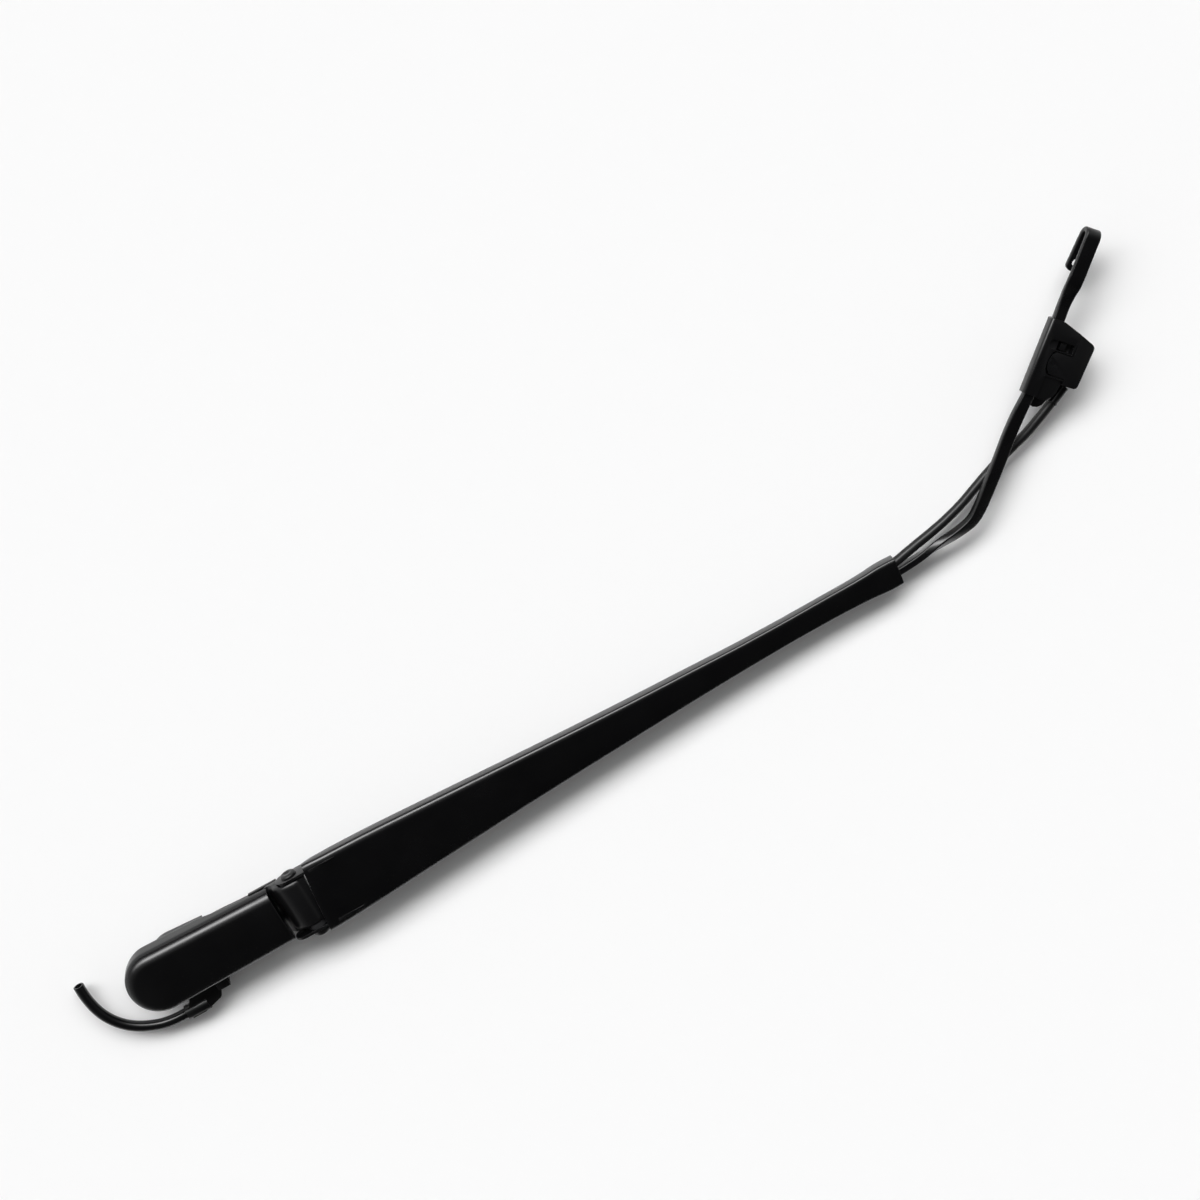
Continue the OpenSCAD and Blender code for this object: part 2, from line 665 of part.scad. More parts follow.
// Hose held in the channel and on to the jet, one length
module washer_hose() {
    color(rubber) difference() {
        loft(tube_rings(hose_points, hose_r, 12));
        translate([joiner_x + collar_half, joiner_y, joiner_z]) rotate([0, 90, 0])
            cylinder(h = barb_len + 0.2, r = hose_bore_r + seat);
        translate(feed(12.2)) rotate([0, 90, feed_turn]) cylinder(h = 12, r = hose_bore_r + seat);
    }
}

// Plastic bulkhead that presses into the channel and carries the hose
module hose_clip(x, y, z) {
    half = channel_at(x, 1) - sheet - 0.15;
    mid = channel_at(x, 2);
    top = channel_at(x, 3) - sheet - 0.1;
    foot = channel_at(x, 4) + 0.6;
    cut = corner_r - sheet;
    color(plastic) difference() {
        translate([x - 1.5, 0, 0]) rotate([90, 0, 90]) linear_extrude(height = 3) polygon([
            [mid - half, foot], [mid + half, foot], [mid + half, top - cut], [mid + half - cut, top],
            [mid - half + cut, top], [mid - half, top - cut]
        ]);
        translate([x - 5, y, z]) rotate([0, 90, 0]) cylinder(h = 10, r = hose_r + 0.2);
        block([x - 5, y - hose_r + 0.3, foot - 1], [x + 5, y + hose_r - 0.3, z]);
    }
}

module hose_clip_inner() {
    hose_clip(254, -3, 16.4);
}

module hose_clip_outer() {
    hose_clip(352, 1.5, 14.5);
}

// Curved inlet pipe with a bare end
module inlet_pipe() {
    last = len(inlet_points) - 1;
    through = concat(
        [inlet_points[0] + [1, 0, 0]],
        inlet_points,
        [inlet_points[last] + [0, 1, 0]]
    );
    color(rubber) difference() {
        loft(tube_rings(inlet_points, inlet_r, 20));
        loft(tube_rings(through, inlet_bore_r, 12));
    }
}

// Elbow connector on the head's near side, from the pipe to the hinge hose
module inlet_connector() {
    color(plastic) difference() {
        union() {
            translate([0, 0, 4.2]) linear_extrude(height = 7.8) polygon(concat(
                [[-4, -22.5], [-9, -30], [-9, -35.6], [-0.8, -35.6], [7.5, -33.2]],
                arc(8.6, -28.4, 4.4, 300, 345, 4),
                [[14.4, -26.6], [20.5, -25.8], [21, -18.8], [2, -18.8]]
            ));
            translate([-11, inlet_y, inlet_z]) rotate([0, 90, 0]) cylinder(h = 14, r = 4.4);
            across(spigot_x, spigot_z, -22, -7.4, spigot_r);
            translate([spigot_x, -7.4, spigot_z]) sphere(r = spigot_r);
            translate([spigot_x, -7.4, spigot_z]) rotate([0, 90, 0]) cylinder(h = 7.8, r = spigot_r);
            translate([spigot_x, -7.4, spigot_z]) rotate([0, 90, 0]) cylinder(h = 7.8 + barb_len, r = hose_bore_r);
        }
        translate([-12, inlet_y, inlet_z]) rotate([0, 90, 0]) cylinder(h = 10.2, r = inlet_r + seat);
        translate([-4, inlet_y, inlet_z]) rotate([0, 90, 0]) cylinder(h = 8, r = 1.5);
    }
}

// Clip that locks the connector to the head
module connector_clip() {
    color(plastic) {
        block([12.5, -27.6, 12.05], [20, -18.8, 13.2]);
        block([15, -27.6, 9.5], [20, -26.6, 12.6]);
    }
}

// Jet body that clips on the rod
module jet_housing() {
    side = rod_w / 2 + jet_wall;
    low = rod_z - rod_t / 2 - 1.1;
    color(plastic) at_jet() difference() {
        intersection() {
            translate([0, 0, 5]) linear_extrude(height = 25) polygon([
                [-0.5, side + 1], [jet_len - 0.4, side + 1], [jet_len + 0.2, 3], [jet_len + 0.2, -3],
                [jet_len - 3.6, -parting], [9.9, -parting], [8.5, -14.6], [5, -14.3], [2, -13], [-0.4, -9.6],
                [-1.2, -7], [-0.9, -4.4], [-0.5, -3.6]
            ]);
            rotate([90, 0, 90]) translate([0, 0, -5]) linear_extrude(height = 60) polygon(concat(
                [[-20, jet_top]],
                arc(side - 2, jet_top - 2, 2, 90, 0, 6),
                arc(side - 1.5, low + 1.5, 1.5, 0, -90, 4),
                [[-20, low]]
            ));
        }
        block([-6, -rod_w / 2 - seat, rod_z - rod_t / 2 - seat], [60, rod_w / 2 + seat, rod_z + rod_t / 2 + seat]);
        block([13, -15.5, jet_top - 1.9], [27, -4.5, 30]);
        translate([20, -4.5, jet_top - 1.9]) scale([1, 0.4, 1]) cylinder(h = 10, r = 7, $fn = 12);
        block([27.6, -13.8, low + 2], [33, -4.4, 30]);
        block([27.6, -4.4, jet_top - 1.4], [33, -1.6, 30]);
        translate([30.3, -1.6, jet_top - 1.4]) cylinder(h = 10, r = 2.7);
        block([-3, -16, jet_top - 1.2], [12.2, -3.8, 30]);
    }
    color(plastic) at_jet() {
        block([10.2, -14.9, jet_foot + 2], [39, -6, low + 0.01]);
        block([28.2, -9.6, low + 1], [32.4, -6.2, jet_top - 1.6]);
    }
}

// Side cover of the jet with its snap tongue across the rod
module jet_side_cover() {
    color(plastic) at_jet() difference() {
        union() {
            translate([0, 0, jet_foot]) linear_extrude(height = jet_top - jet_foot) polygon([
                [jet_len - 3.8, -parting - 0.3], [jet_len - 6.6, 2.2 - jet_reach], [jet_len - 7.3, 1 - jet_reach],
                [jet_len - 8.3, 0.2 - jet_reach], [jet_len - 9.5, -jet_reach],
                [12, -24.5], [10.8, -24], [10.1, -23], [9.9, -parting - 0.3]
            ]);
            translate([0, 0, jet_top - 1.6]) linear_extrude(height = 1.6) polygon([
                [26.6, -15], [26.6, -5], [24.6, -3], [20.6, -2.2], [16.5, -3], [14, -5], [13.4, -8],
                [13.4, -15.5], [26.6, -15.5]
            ]);
        }
        translate([20.7, -4.8, 0]) cylinder(h = 40, r = 1.5 + seat);
        for (s = [16, 31]) translate([s, -20.4, jet_foot + 1.2]) sphere(r = nozzle_r + running);
        translate([9, -21.8, 12]) rotate([0, 90, feed_turn - jet_turn]) cylinder(h = 8, r = hose_bore_r + seat);
    }
}

// Stud whose head shows as a ring on the tongue
module jet_clip_stud() {
    color(plastic) at_jet() translate([20.7, -4.8, 0]) {
        translate([0, 0, jet_top - 1.85]) cylinder(h = 2.1, r = 1.5);
    }
}

// Hinged plate under the jet's inner end
module jet_latch_plate() {
    top = rod_z - rod_t / 2 - 1.1 - 0.05;
    color(plastic) at_jet() translate([0, 0, top - 2.2]) linear_extrude(height = 2.2) polygon([
        [9.6, -3.6], [-5, -3.8], [-6.6, -5], [-7.2, -7], [-6.6, -9.6], [-4.6, -12], [-1, -13.5], [9.6, -13.5]
    ]);
}

// Barbed stub the hose pushes onto
module jet_nipple() {
    color(plastic) translate(feed(11.5)) rotate([0, 90, feed_turn]) difference() {
        cylinder(h = 16, r = hose_bore_r);
        translate([0, 0, -1]) cylinder(h = 14, r = 0.8);
    }
}

// Sleeve shrunk over the end of the hose
module hose_sleeve() {
    color(rubber) translate(feed(sleeve_len)) rotate([0, 90, feed_turn]) difference() {
        cylinder(h = sleeve_len - 1, r = sleeve_r);
        translate([0, 0, -1]) cylinder(h = sleeve_len + 1, r = hose_r + seat);
    }
}

// One ball nozzle in the foot of the side cover
module nozzle(s) {
    color(steel) at_jet() translate([s, -20.4, jet_foot + 1.2]) difference() {
        sphere(r = nozzle_r);
        translate([0, 0, -3]) cylinder(h = 3, r = 0.4);
    }
}

module jet_nozzle_inner() {
    nozzle(16);
}

module jet_nozzle_outer() {
    nozzle(31);
}

head_casting();
nut_cover();
hinge_bush_far();
hinge_bush_near();
hinge_pin();
link_pin();
spring_link();
tension_spring();
spring_anchor();
arm_channel();
hook_rod();
hose_joiner();
hinge_hose();
washer_hose();
hose_clip_inner();
hose_clip_outer();
inlet_pipe();
inlet_connector();
connector_clip();
jet_housing();
jet_side_cover();
jet_clip_stud();
jet_latch_plate();
jet_nipple();
hose_sleeve();
jet_nozzle_inner();
jet_nozzle_outer();
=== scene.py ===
"""Looks of a windscreen wiper arm with a washer feed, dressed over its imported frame."""

from __future__ import annotations

import logging
import math
from dataclasses import dataclass, field
from enum import Enum
from typing import Any, Sequence

import bmesh
import bpy
from mathutils import Matrix, Vector


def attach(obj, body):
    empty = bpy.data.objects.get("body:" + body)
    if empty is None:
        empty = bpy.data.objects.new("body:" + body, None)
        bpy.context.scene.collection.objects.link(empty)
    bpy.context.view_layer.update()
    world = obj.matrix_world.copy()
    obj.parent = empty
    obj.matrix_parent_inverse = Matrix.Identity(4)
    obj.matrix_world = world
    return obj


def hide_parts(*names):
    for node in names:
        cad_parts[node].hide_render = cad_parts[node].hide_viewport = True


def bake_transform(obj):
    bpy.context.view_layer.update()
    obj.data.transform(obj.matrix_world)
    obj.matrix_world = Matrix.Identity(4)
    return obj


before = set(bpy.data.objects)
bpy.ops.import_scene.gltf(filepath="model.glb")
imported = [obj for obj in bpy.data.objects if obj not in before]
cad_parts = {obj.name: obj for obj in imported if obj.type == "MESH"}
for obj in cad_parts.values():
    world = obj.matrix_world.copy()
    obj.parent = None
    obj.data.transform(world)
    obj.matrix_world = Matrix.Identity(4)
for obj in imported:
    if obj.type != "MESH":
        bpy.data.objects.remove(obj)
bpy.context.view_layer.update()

LOG = logging.getLogger("wiper_arm")
MM = 0.001
# Points closer than this many metres are merged.
WELD = 2e-6
TINY = 1e-6
# Faces that meet at fewer degrees than this are joined into one.
FLAT_ANGLE = 0.8
# Least radius in millimetres that a drawn in edge keeps.
LEAST_BEND = 0.12
CLOUDS_PER_METRE = 55.0
PATCHES_PER_METRE = 9.0
DRAWN_STRETCH = (0.06, 1.0, 1.0)
LEAST_BLOOM = 0.0012
WIRE_SIDES = 10
TURN_STEPS = 28
LOOP_SIDES = 40
HOSE_SIDES = 28
Ring = list[Vector]
Pair = tuple[float, float]
Triple = tuple[float, float, float]
BarStation = tuple[Vector, float, float, float, float, float]


class Body(Enum):
    """The CAD bodies that pieces ride on."""

    HEAD = "head"
    COVER = "cover"
    ARM = "arm"


class Grain(Enum):
    """How a surface is textured."""

    POWDER = "powder coat"
    MOULDED = "moulded plastic"
    RUBBER = "extruded rubber"
    DRAWN = "drawn steel"


class Value:
    """A shader socket that takes part in sums."""

    def __init__(self, tree: "ShaderTree", socket: bpy.types.NodeSocket) -> None:
        """Keeps the socket and the tree it belongs to."""
        self.tree = tree
        self.socket = socket

    def _sum(self, operation: str, first: Any, second: Any) -> "Value":
        """Adds a Math node.

        Args:
            operation: The Math node's operation.
            first: A Value or a number.
            second: A Value or a number.

        Returns:
            The node's result.
        """
        node = self.tree.add("ShaderNodeMath", {0: first, 1: second}, operation=operation)
        return Value(self.tree, node.outputs[0])

    def __add__(self, other: Any) -> "Value":
        """Sum."""
        return self._sum("ADD", self, other)

    def __radd__(self, other: Any) -> "Value":
        """Reflected sum."""
        return self._sum("ADD", other, self)

    def __sub__(self, other: Any) -> "Value":
        """Difference."""
        return self._sum("SUBTRACT", self, other)

    def __rsub__(self, other: Any) -> "Value":
        """Reflected difference."""
        return self._sum("SUBTRACT", other, self)

    def __mul__(self, other: Any) -> "Value":
        """Product."""
        return self._sum("MULTIPLY", self, other)

    def __rmul__(self, other: Any) -> "Value":
        """Reflected product."""
        return self._sum("MULTIPLY", other, self)

    def __truediv__(self, other: Any) -> "Value":
        """Quotient."""
        return self._sum("DIVIDE", self, other)

    def __rtruediv__(self, other: Any) -> "Value":
        """Reflected quotient."""
        return self._sum("DIVIDE", other, self)

    def __pow__(self, other: Any) -> "Value":
        """Power."""
        return self._sum("POWER", self, other)

    def clamped(self) -> "Value":
        """The value held between 0 and 1."""
        node = self.tree.add("ShaderNodeClamp", {0: self})
        return Value(self.tree, node.outputs[0])


class NodeTree:
    """A tree of nodes, of shaders or of geometry."""

    def __init__(self, tree: bpy.types.NodeTree) -> None:
        """Keeps the tree that gets the nodes."""
        self.tree = tree

    def add(self, kind: str, inputs: dict[Any, Any] | None = None, **settings: Any) -> bpy.types.Node:
        """Adds any node.

        Args:
            kind: The node's type name.
            inputs: Input name or index to a Value, a socket, or a constant.
            **settings: Attributes of the node.

        Returns:
            The new node.
        """
        node = self.tree.nodes.new(kind)
        for name, setting in settings.items():
            setattr(node, name, setting)
        for name, given in (inputs or {}).items():
            source = given.socket if isinstance(given, Value) else given
            if isinstance(source, bpy.types.NodeSocket):
                self.tree.links.new(source, node.inputs[name])
            else:
                node.inputs[name].default_value = source
        return node


class ShaderTree(NodeTree):
    """A node tree of a material or the world, built from an empty one."""

    def __init__(self, owner: bpy.types.Material | bpy.types.World) -> None:
        """Clears the owner's nodes."""
        owner.use_nodes = True
        super().__init__(owner.node_tree)
        self.tree.nodes.clear()

    def value(self, kind: str, inputs: dict[Any, Any], output: int | str = 0, **settings: Any) -> Value:
        """Adds a node and returns one of its outputs as a Value."""
        return Value(self, self.add(kind, inputs, **settings).outputs[output])


@dataclass(frozen=True)
class Finish:
    """One surface finish of the part.

    Sizes are in metres. `grain_size` is one bump of the texture, `relief` its height.
    """

    slot: str
    grain: Grain
    colour: Triple
    roughness: float
    grain_size: float
    relief: float
    uneven: float = 0.05
    metallic: float = 0.0
    specular: float = 0.42
    bloom: float = 0.25

    def _stretch(self) -> Triple:
        """How far the texture is drawn out along each axis."""
        return DRAWN_STRETCH if self.grain is Grain.DRAWN else (1.0, 1.0, 1.0)

    def material(self) -> bpy.types.Material:
        """Builds the finish's material.

        Returns:
            A material that reads Object coordinates only.
        """
        made = bpy.data.materials.new(self.slot)
        tree = ShaderTree(made)
        place = tree.add("ShaderNodeTexCoord").outputs["Object"]
        drawn = tree.add("ShaderNodeMapping", {"Vector": place, "Scale": self._stretch()}).outputs[0]

        def noise(scale: float, detail: float) -> Value:
            """A noise over the stretched surface."""
            inputs = {"Vector": drawn, "Scale": scale, "Detail": detail}
            return tree.value("ShaderNodeTexNoise", inputs)

        fine = noise(1 / self.grain_size, 3.0)
        cloud = noise(CLOUDS_PER_METRE, 4.0)
        patch = noise(PATCHES_PER_METRE, 2.0)
        if self.grain is Grain.MOULDED:
            cells = {"Vector": drawn, "Scale": 0.7 / self.grain_size}
            cell = tree.value("ShaderNodeTexVoronoi", cells, feature="SMOOTH_F1")
            height = fine * 0.6 + cell * 0.6
        elif self.grain is Grain.RUBBER:
            height = fine * 0.5 + noise(0.25 / self.grain_size, 2.0)
        else:
            height = fine + cloud * 0.35
        wear = (cloud - 0.5) * self.uneven * 2 + (patch - 0.5) * self.uneven
        roughness = (self.roughness + wear).clamped()
        tone = ((cloud - 0.5) * 1.6 + (fine - 0.5) + 0.5).clamped()
        lifted = tuple(min(1.0, c * (1 + self.bloom) + LEAST_BLOOM * self.bloom) for c in self.colour)
        colour = tree.add(
            "ShaderNodeMix",
            {0: tone, 6: (*self.colour, 1.0), 7: (*lifted, 1.0)},
            data_type="RGBA",
        ).outputs[2]
        bump = tree.add("ShaderNodeBump", {"Strength": 1.0, "Distance": self.relief, "Height": height})
        shader = tree.add(
            "ShaderNodeBsdfPrincipled",
            {
                "Base Color": colour,
                "Roughness": roughness,
                "Normal": bump.outputs[0],
                "Metallic": self.metallic,
                "Specular IOR Level": self.specular,
            },
        )
        tree.add("ShaderNodeOutputMaterial", {"Surface": shader.outputs[0]})
        return made


@dataclass
class Finishes:
    """Every finish of the part by its slot, made on first use."""

    known: dict[str, Finish]
    made: dict[str, bpy.types.Material] = field(default_factory=dict)

    def __getitem__(self, slot: str) -> bpy.types.Material:
        """The material of a slot."""
        if slot not in self.made:
            self.made[slot] = self.known[slot].material()
        return self.made[slot]


PALETTE = (
    Finish("casting_black", Grain.POWDER, (0.0026, 0.0026, 0.0029), 0.32, 0.00055, 0.000016, uneven=0.07),
    Finish("cover_black", Grain.MOULDED, (0.0016, 0.0016, 0.0018), 0.25, 0.00045, 0.000007, uneven=0.05),
    Finish("channel_black", Grain.POWDER, (0.0014, 0.0014, 0.0016), 0.25, 0.00060, 0.000010, uneven=0.06),
    Finish("rod_black", Grain.POWDER, (0.0016, 0.0016, 0.0018), 0.28, 0.00060, 0.000010, uneven=0.06),
    Finish("pin_black", Grain.POWDER, (0.0024, 0.0024, 0.0026), 0.3, 0.00050, 0.000008, uneven=0.08),
    Finish("bush_plastic", Grain.MOULDED, (0.012, 0.012, 0.013), 0.45, 0.00040, 0.000006),
    Finish(
        "plated_steel", Grain.DRAWN, (0.52, 0.53, 0.54), 0.32, 0.00020, 0.000004, uneven=0.10, metallic=1.0
    ),
    Finish(
        "spring_steel", Grain.DRAWN, (0.23, 0.235, 0.24), 0.30, 0.00020, 0.000003, uneven=0.12, metallic=1.0
    ),
    Finish("feed_plastic", Grain.MOULDED, (0.0024, 0.0024, 0.0026), 0.3, 0.00035, 0.000005),
    Finish("clip_plastic", Grain.MOULDED, (0.0034, 0.0034, 0.0037), 0.38, 0.00035, 0.000006),
    Finish(
        "jet_plastic", Grain.MOULDED, (0.0022, 0.0022, 0.0025), 0.28, 0.00040, 0.000006,
        uneven=0.06, specular=0.5,
    ),
    Finish(
        "hose_rubber", Grain.RUBBER, (0.0028, 0.0028, 0.0030), 0.4, 0.00050, 0.000006, uneven=0.06, bloom=0.6
    ),
    Finish("pipe_rubber", Grain.RUBBER, (0.0020, 0.0020, 0.0022), 0.24, 0.00060, 0.000005, uneven=0.06),
    Finish("nozzle_brass", Grain.DRAWN, (0.62, 0.43, 0.17), 0.28, 0.00020, 0.000003, metallic=1.0),
)


class Curve1D:
    """A smooth run of columns of numbers through stations, without overshoot."""

    def __init__(self, at: Sequence[float], rows: Sequence[Sequence[float]]) -> None:
        """Works out the slope of every column at every station.

        Args:
            at: The stations' distances, rising.
            rows: One row of numbers for each station.
        """
        self.at = list(at)
        self.rows = [list(r) for r in rows]
        gaps = [b - a for a, b in zip(self.at, self.at[1:])]
        columns = len(self.rows[0])
        rises = [
            [(self.rows[i + 1][c] - self.rows[i][c]) / gaps[i] for c in range(columns)]
            for i in range(len(gaps))
        ]
        self.slopes = [rises[0]]
        for i in range(1, len(gaps)):
            row = []
            for before, after in zip(rises[i - 1], rises[i]):
                one = 2 * gaps[i] + gaps[i - 1]
                two = gaps[i] + 2 * gaps[i - 1]
                row.append((one + two) / (one / before + two / after) if before * after > 0 else 0.0)
            self.slopes.append(row)
        self.slopes.append(rises[-1])

    def __call__(self, where: float) -> list[float]:
        """Works out the columns at a distance.

        Args:
            where: The distance; beyond the ends, the end station holds.

        Returns:
            One number for each column.
        """
        last = len(self.at) - 2
        i = min(last, max(0, sum(1 for a in self.at[1:] if a <= where)))
        gap = self.at[i + 1] - self.at[i]
        t = min(1.0, max(0.0, (where - self.at[i]) / gap))
        a, b, c, d = 2 * t**3 - 3 * t**2 + 1, t**3 - 2 * t**2 + t, 3 * t**2 - 2 * t**3, t**3 - t**2
        return [
            a * p + b * gap * m + c * q + d * gap * n
            for p, m, q, n in zip(self.rows[i], self.slopes[i], self.rows[i + 1], self.slopes[i + 1])
        ]


def through(points: Sequence[Sequence[float]], step: float) -> list[Vector]:
    """A smooth line through points, by Catmull-Rom.

    Args:
        points: Points in millimetres.
        step: Largest distance between points of the result, in millimetres.

    Returns:
        The line's points in millimetres.
    """
    given = [Vector(p) for p in points]
    ends = [2 * given[0] - given[1], *given, 2 * given[-1] - given[-2]]
    line = [given[0]]
    for i in range(len(given) - 1):
        a, b, c, d = ends[i : i + 4]
        count = max(1, math.ceil((c - b).length / step))
        for k in range(1, count + 1):
            t = k / count
            bow, twist = 2 * a - 5 * b + 4 * c - d, 3 * b - a - 3 * c + d
            line.append(0.5 * (2 * b + (c - a) * t + bow * t**2 + twist * t**3))
    return line


def arc(centre: Pair, radius: float, start: float, end: float, count: int) -> list[Pair]:
    """Works out points of an arc in a plane, both ends included.

    Args:
        centre: The arc's centre.
        radius: Its radius.
        start: Angle of the first point in degrees.
        end: Angle of the last point in degrees.
        count: Steps between them.

    Returns:
        The arc's points in order.
    """
    turn = [math.radians(start + (end - start) * i / count) for i in range(count + 1)]
    return [(centre[0] + radius * math.cos(a), centre[1] + radius * math.sin(a)) for a in turn]


def shoulder(bends: Sequence[Triple], inset: float, count: int) -> list[Pair]:
    """Inward reach and rise of a rounded edge that goes from a wall over to a top.

    Args:
        bends: Start angle, end angle and radius of each arc, the angles in degrees above
            the wall's own direction outwards.
        inset: How far the edge is drawn in, for the wall's other face.
        count: Steps of each arc.

    Returns:
        Points from the wall's upper end to the top's edge.
    """
    reach, rise = inset * math.cos(math.radians(bends[0][0])), inset * math.sin(math.radians(bends[0][0]))
    made = [(reach, -rise)]
    for start, end, radius in bends:
        one = math.radians(start)
        here = made[-1]
        for k in range(1, count + 1):
            two = math.radians(start + (end - start) * k / count)
            r = max(LEAST_BEND, radius - inset)
            across, up = math.cos(one) - math.cos(two), math.sin(two) - math.sin(one)
            made.append((here[0] + r * across, here[1] + r * up))
    return made


class Piece:
    """One mesh object of the part, from its first faces to the frame."""

    def __init__(self, name: str) -> None:
        """Starts an empty mesh."""
        self.name = name
        self.mesh = bmesh.new()

    def ring(self, points: Sequence[Sequence[float]]) -> list[bmesh.types.BMVert]:
        """Adds a row of points given in millimetres."""
        return [self.mesh.verts.new(Vector(p) * MM) for p in points]

    def skin(self, rows: Sequence[Sequence[bmesh.types.BMVert]], closed: bool = True) -> None:
        """Joins rows of points by quads.

        Args:
            rows: Rows of the same number of points.
            closed: Whether the quads go round each row.
        """
        for one, two in zip(rows, rows[1:]):
            count = len(one)
            for i in range(count if closed else count - 1):
                j = (i + 1) % count
                self.mesh.faces.new((one[i], one[j], two[j], two[i]))

    def loft(self, rings: Sequence[Sequence[Sequence[float]]], capped: bool = True) -> None:
        """Adds a skin through closed rings.

        Args:
            rings: Rings of points in millimetres.
            capped: Whether the first and last ring are filled.
        """
        rows = [self.ring(r) for r in rings]
        self.skin(rows)
        if capped:
            self.mesh.faces.new(list(reversed(rows[0])))
            self.mesh.faces.new(rows[-1])

    def lathe(self, profile: Sequence[Pair], place: Matrix, sides: int = 48) -> None:
        """Turns a profile about its own axis.

        Args:
            profile: Radius and height pairs in millimetres; a zero radius closes the form.
            place: Takes the axis, +Z at the origin, to its place in millimetres.
            sides: Steps of the turn.
        """
        rows = []
        for radius, height in profile:
            count = 1 if radius < TINY else sides
            turns = [math.tau * k / count for k in range(count)]
            round_axis = [Vector((radius * math.cos(a), radius * math.sin(a), height)) for a in turns]
            rows.append(self.ring([place @ spot for spot in round_axis]))
        for one, two in zip(rows, rows[1:]):
            for k in range(sides):
                after = k + 1
                ring = (one[k % len(one)], one[after % len(one)], two[after % len(two)], two[k % len(two)])
                unique = list(dict.fromkeys(ring))
                if len(unique) > 2:
                    self.mesh.faces.new(unique)

    def plate(self, outline: Sequence[Pair], low: float, high: float, place: Matrix | None = None) -> None:
        """Adds a flat plate.

        Args:
            outline: Its corners in millimetres, going round.
            low: Height of its lower face.
            high: Height of its upper face.
            place: Takes the plate to its place, in millimetres.
        """
        turn = place or Matrix.Identity(4)
        self.loft([[turn @ Vector((x, y, z)) for x, y in outline] for z in (low, high)])

    def node(self, name: str) -> None:
        """Adds a merged copy of a CAD node's mesh, with its flat faces joined up.

        Args:
            name: The CAD node.
        """
        self.mesh.from_mesh(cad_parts[name].data)
        bmesh.ops.remove_doubles(self.mesh, verts=self.mesh.verts, dist=WELD)
        bmesh.ops.dissolve_limit(
            self.mesh, angle_limit=math.radians(FLAT_ANGLE), verts=self.mesh.verts, edges=self.mesh.edges
        )

    def done(
        self,
        bevel: float = 0.0,
        steps: int = 2,
        limit: float = 35.0,
        wall: float = 0.0,
        cut: Sequence[bpy.types.Object] = (),
        sharp: float = 40.0,
        recalculated: bool = True,
    ) -> bpy.types.Object:
        """Turns the mesh into an object and finishes its edges.

        Args:
            bevel: Width of the rounded edges in millimetres.
            steps: Segments of each rounded edge.
            limit: Edges sharper than this many degrees are rounded.
            wall: Wall thickness in millimetres that an open skin gets inwards.
            cut: Objects taken out of the piece, and then removed.
            sharp: Edges sharper than this stay sharp to the eye.
            recalculated: Whether the faces are turned outwards first.

        Returns:
            The object, at the origin.
        """
        if recalculated:
            bmesh.ops.recalc_face_normals(self.mesh, faces=self.mesh.faces)
        data = bpy.data.meshes.new(self.name)
        self.mesh.to_mesh(data)
        self.mesh.free()
        obj = bpy.data.objects.new(self.name, data)
        bpy.context.scene.collection.objects.link(obj)
        if wall:
            solid = obj.modifiers.new("wall", "SOLIDIFY")
            solid.thickness, solid.offset, solid.use_even_offset = wall * MM, -1.0, True
        for cutter in cut:
            taken = obj.modifiers.new("cut", "BOOLEAN")
            taken.operation, taken.solver, taken.object = "DIFFERENCE", "EXACT", cutter
        if bevel:
            edge = obj.modifiers.new("edge", "BEVEL")
            edge.width, edge.segments, edge.angle_limit = bevel * MM, steps, math.radians(limit)
            edge.limit_method, edge.use_clamp_overlap, edge.harden_normals = "ANGLE", True, False
        settle(obj)
        shade(obj, sharp)
        for cutter in cut:
            bpy.data.objects.remove(cutter)
        return obj


def settle(obj: bpy.types.Object) -> None:
    """Applies an object's modifiers, so that it holds a plain mesh.

    Args:
        obj: The object with its modifiers.
    """
    bpy.context.view_layer.update()
    graph = bpy.context.evaluated_depsgraph_get()
    plain = bpy.data.meshes.new_from_object(obj.evaluated_get(graph))
    obj.modifiers.clear()
    old, obj.data = obj.data, plain
    plain.name = obj.name
    if isinstance(old, bpy.types.Mesh):
        bpy.data.meshes.remove(old)


def shade(obj: bpy.types.Object, sharp: float) -> None:
    """Shades an object smooth but for its sharp edges.

    Args:
        obj: The object, with a plain mesh.
        sharp: Edges sharper than this many degrees stay sharp to the eye.
    """
    work = bmesh.new()
    work.from_mesh(obj.data)
    for face in work.faces:
        face.smooth = True
    for edge in work.edges:
        edge.smooth = len(edge.link_faces) == 2 and edge.calc_face_angle(0.0) < math.radians(sharp)
    work.to_mesh(obj.data)
    work.free()


def dress(obj: bpy.types.Object, slot: str, finishes: Finishes) -> bpy.types.Object:
    """Gives an object the one material of a slot.

    Args:
        obj: The object, with a plain mesh.
        slot: The slot's name in the record.
        finishes: The part's finishes.

    Returns:
        The same object.
    """
    obj.data.materials.clear()
    obj.data.materials.append(finishes[slot])
    for face in obj.data.polygons:
        face.material_index = 0
    return obj


def seat(obj: bpy.types.Object, body: Body, *nodes: str) -> None:
    """Lets a piece ride on a body in the place of CAD nodes, and reports it.

    Args:
        obj: The finished piece.
        body: The body it rides on.
        *nodes: CAD nodes whose place it takes.
    """
    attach(obj, body.value)
    if nodes:
        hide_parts(*nodes)
    faces = len(obj.data.polygons)
    LOG.info("%s on %s stands for %s, %d faces", obj.name, body.value, ", ".join(nodes), faces)


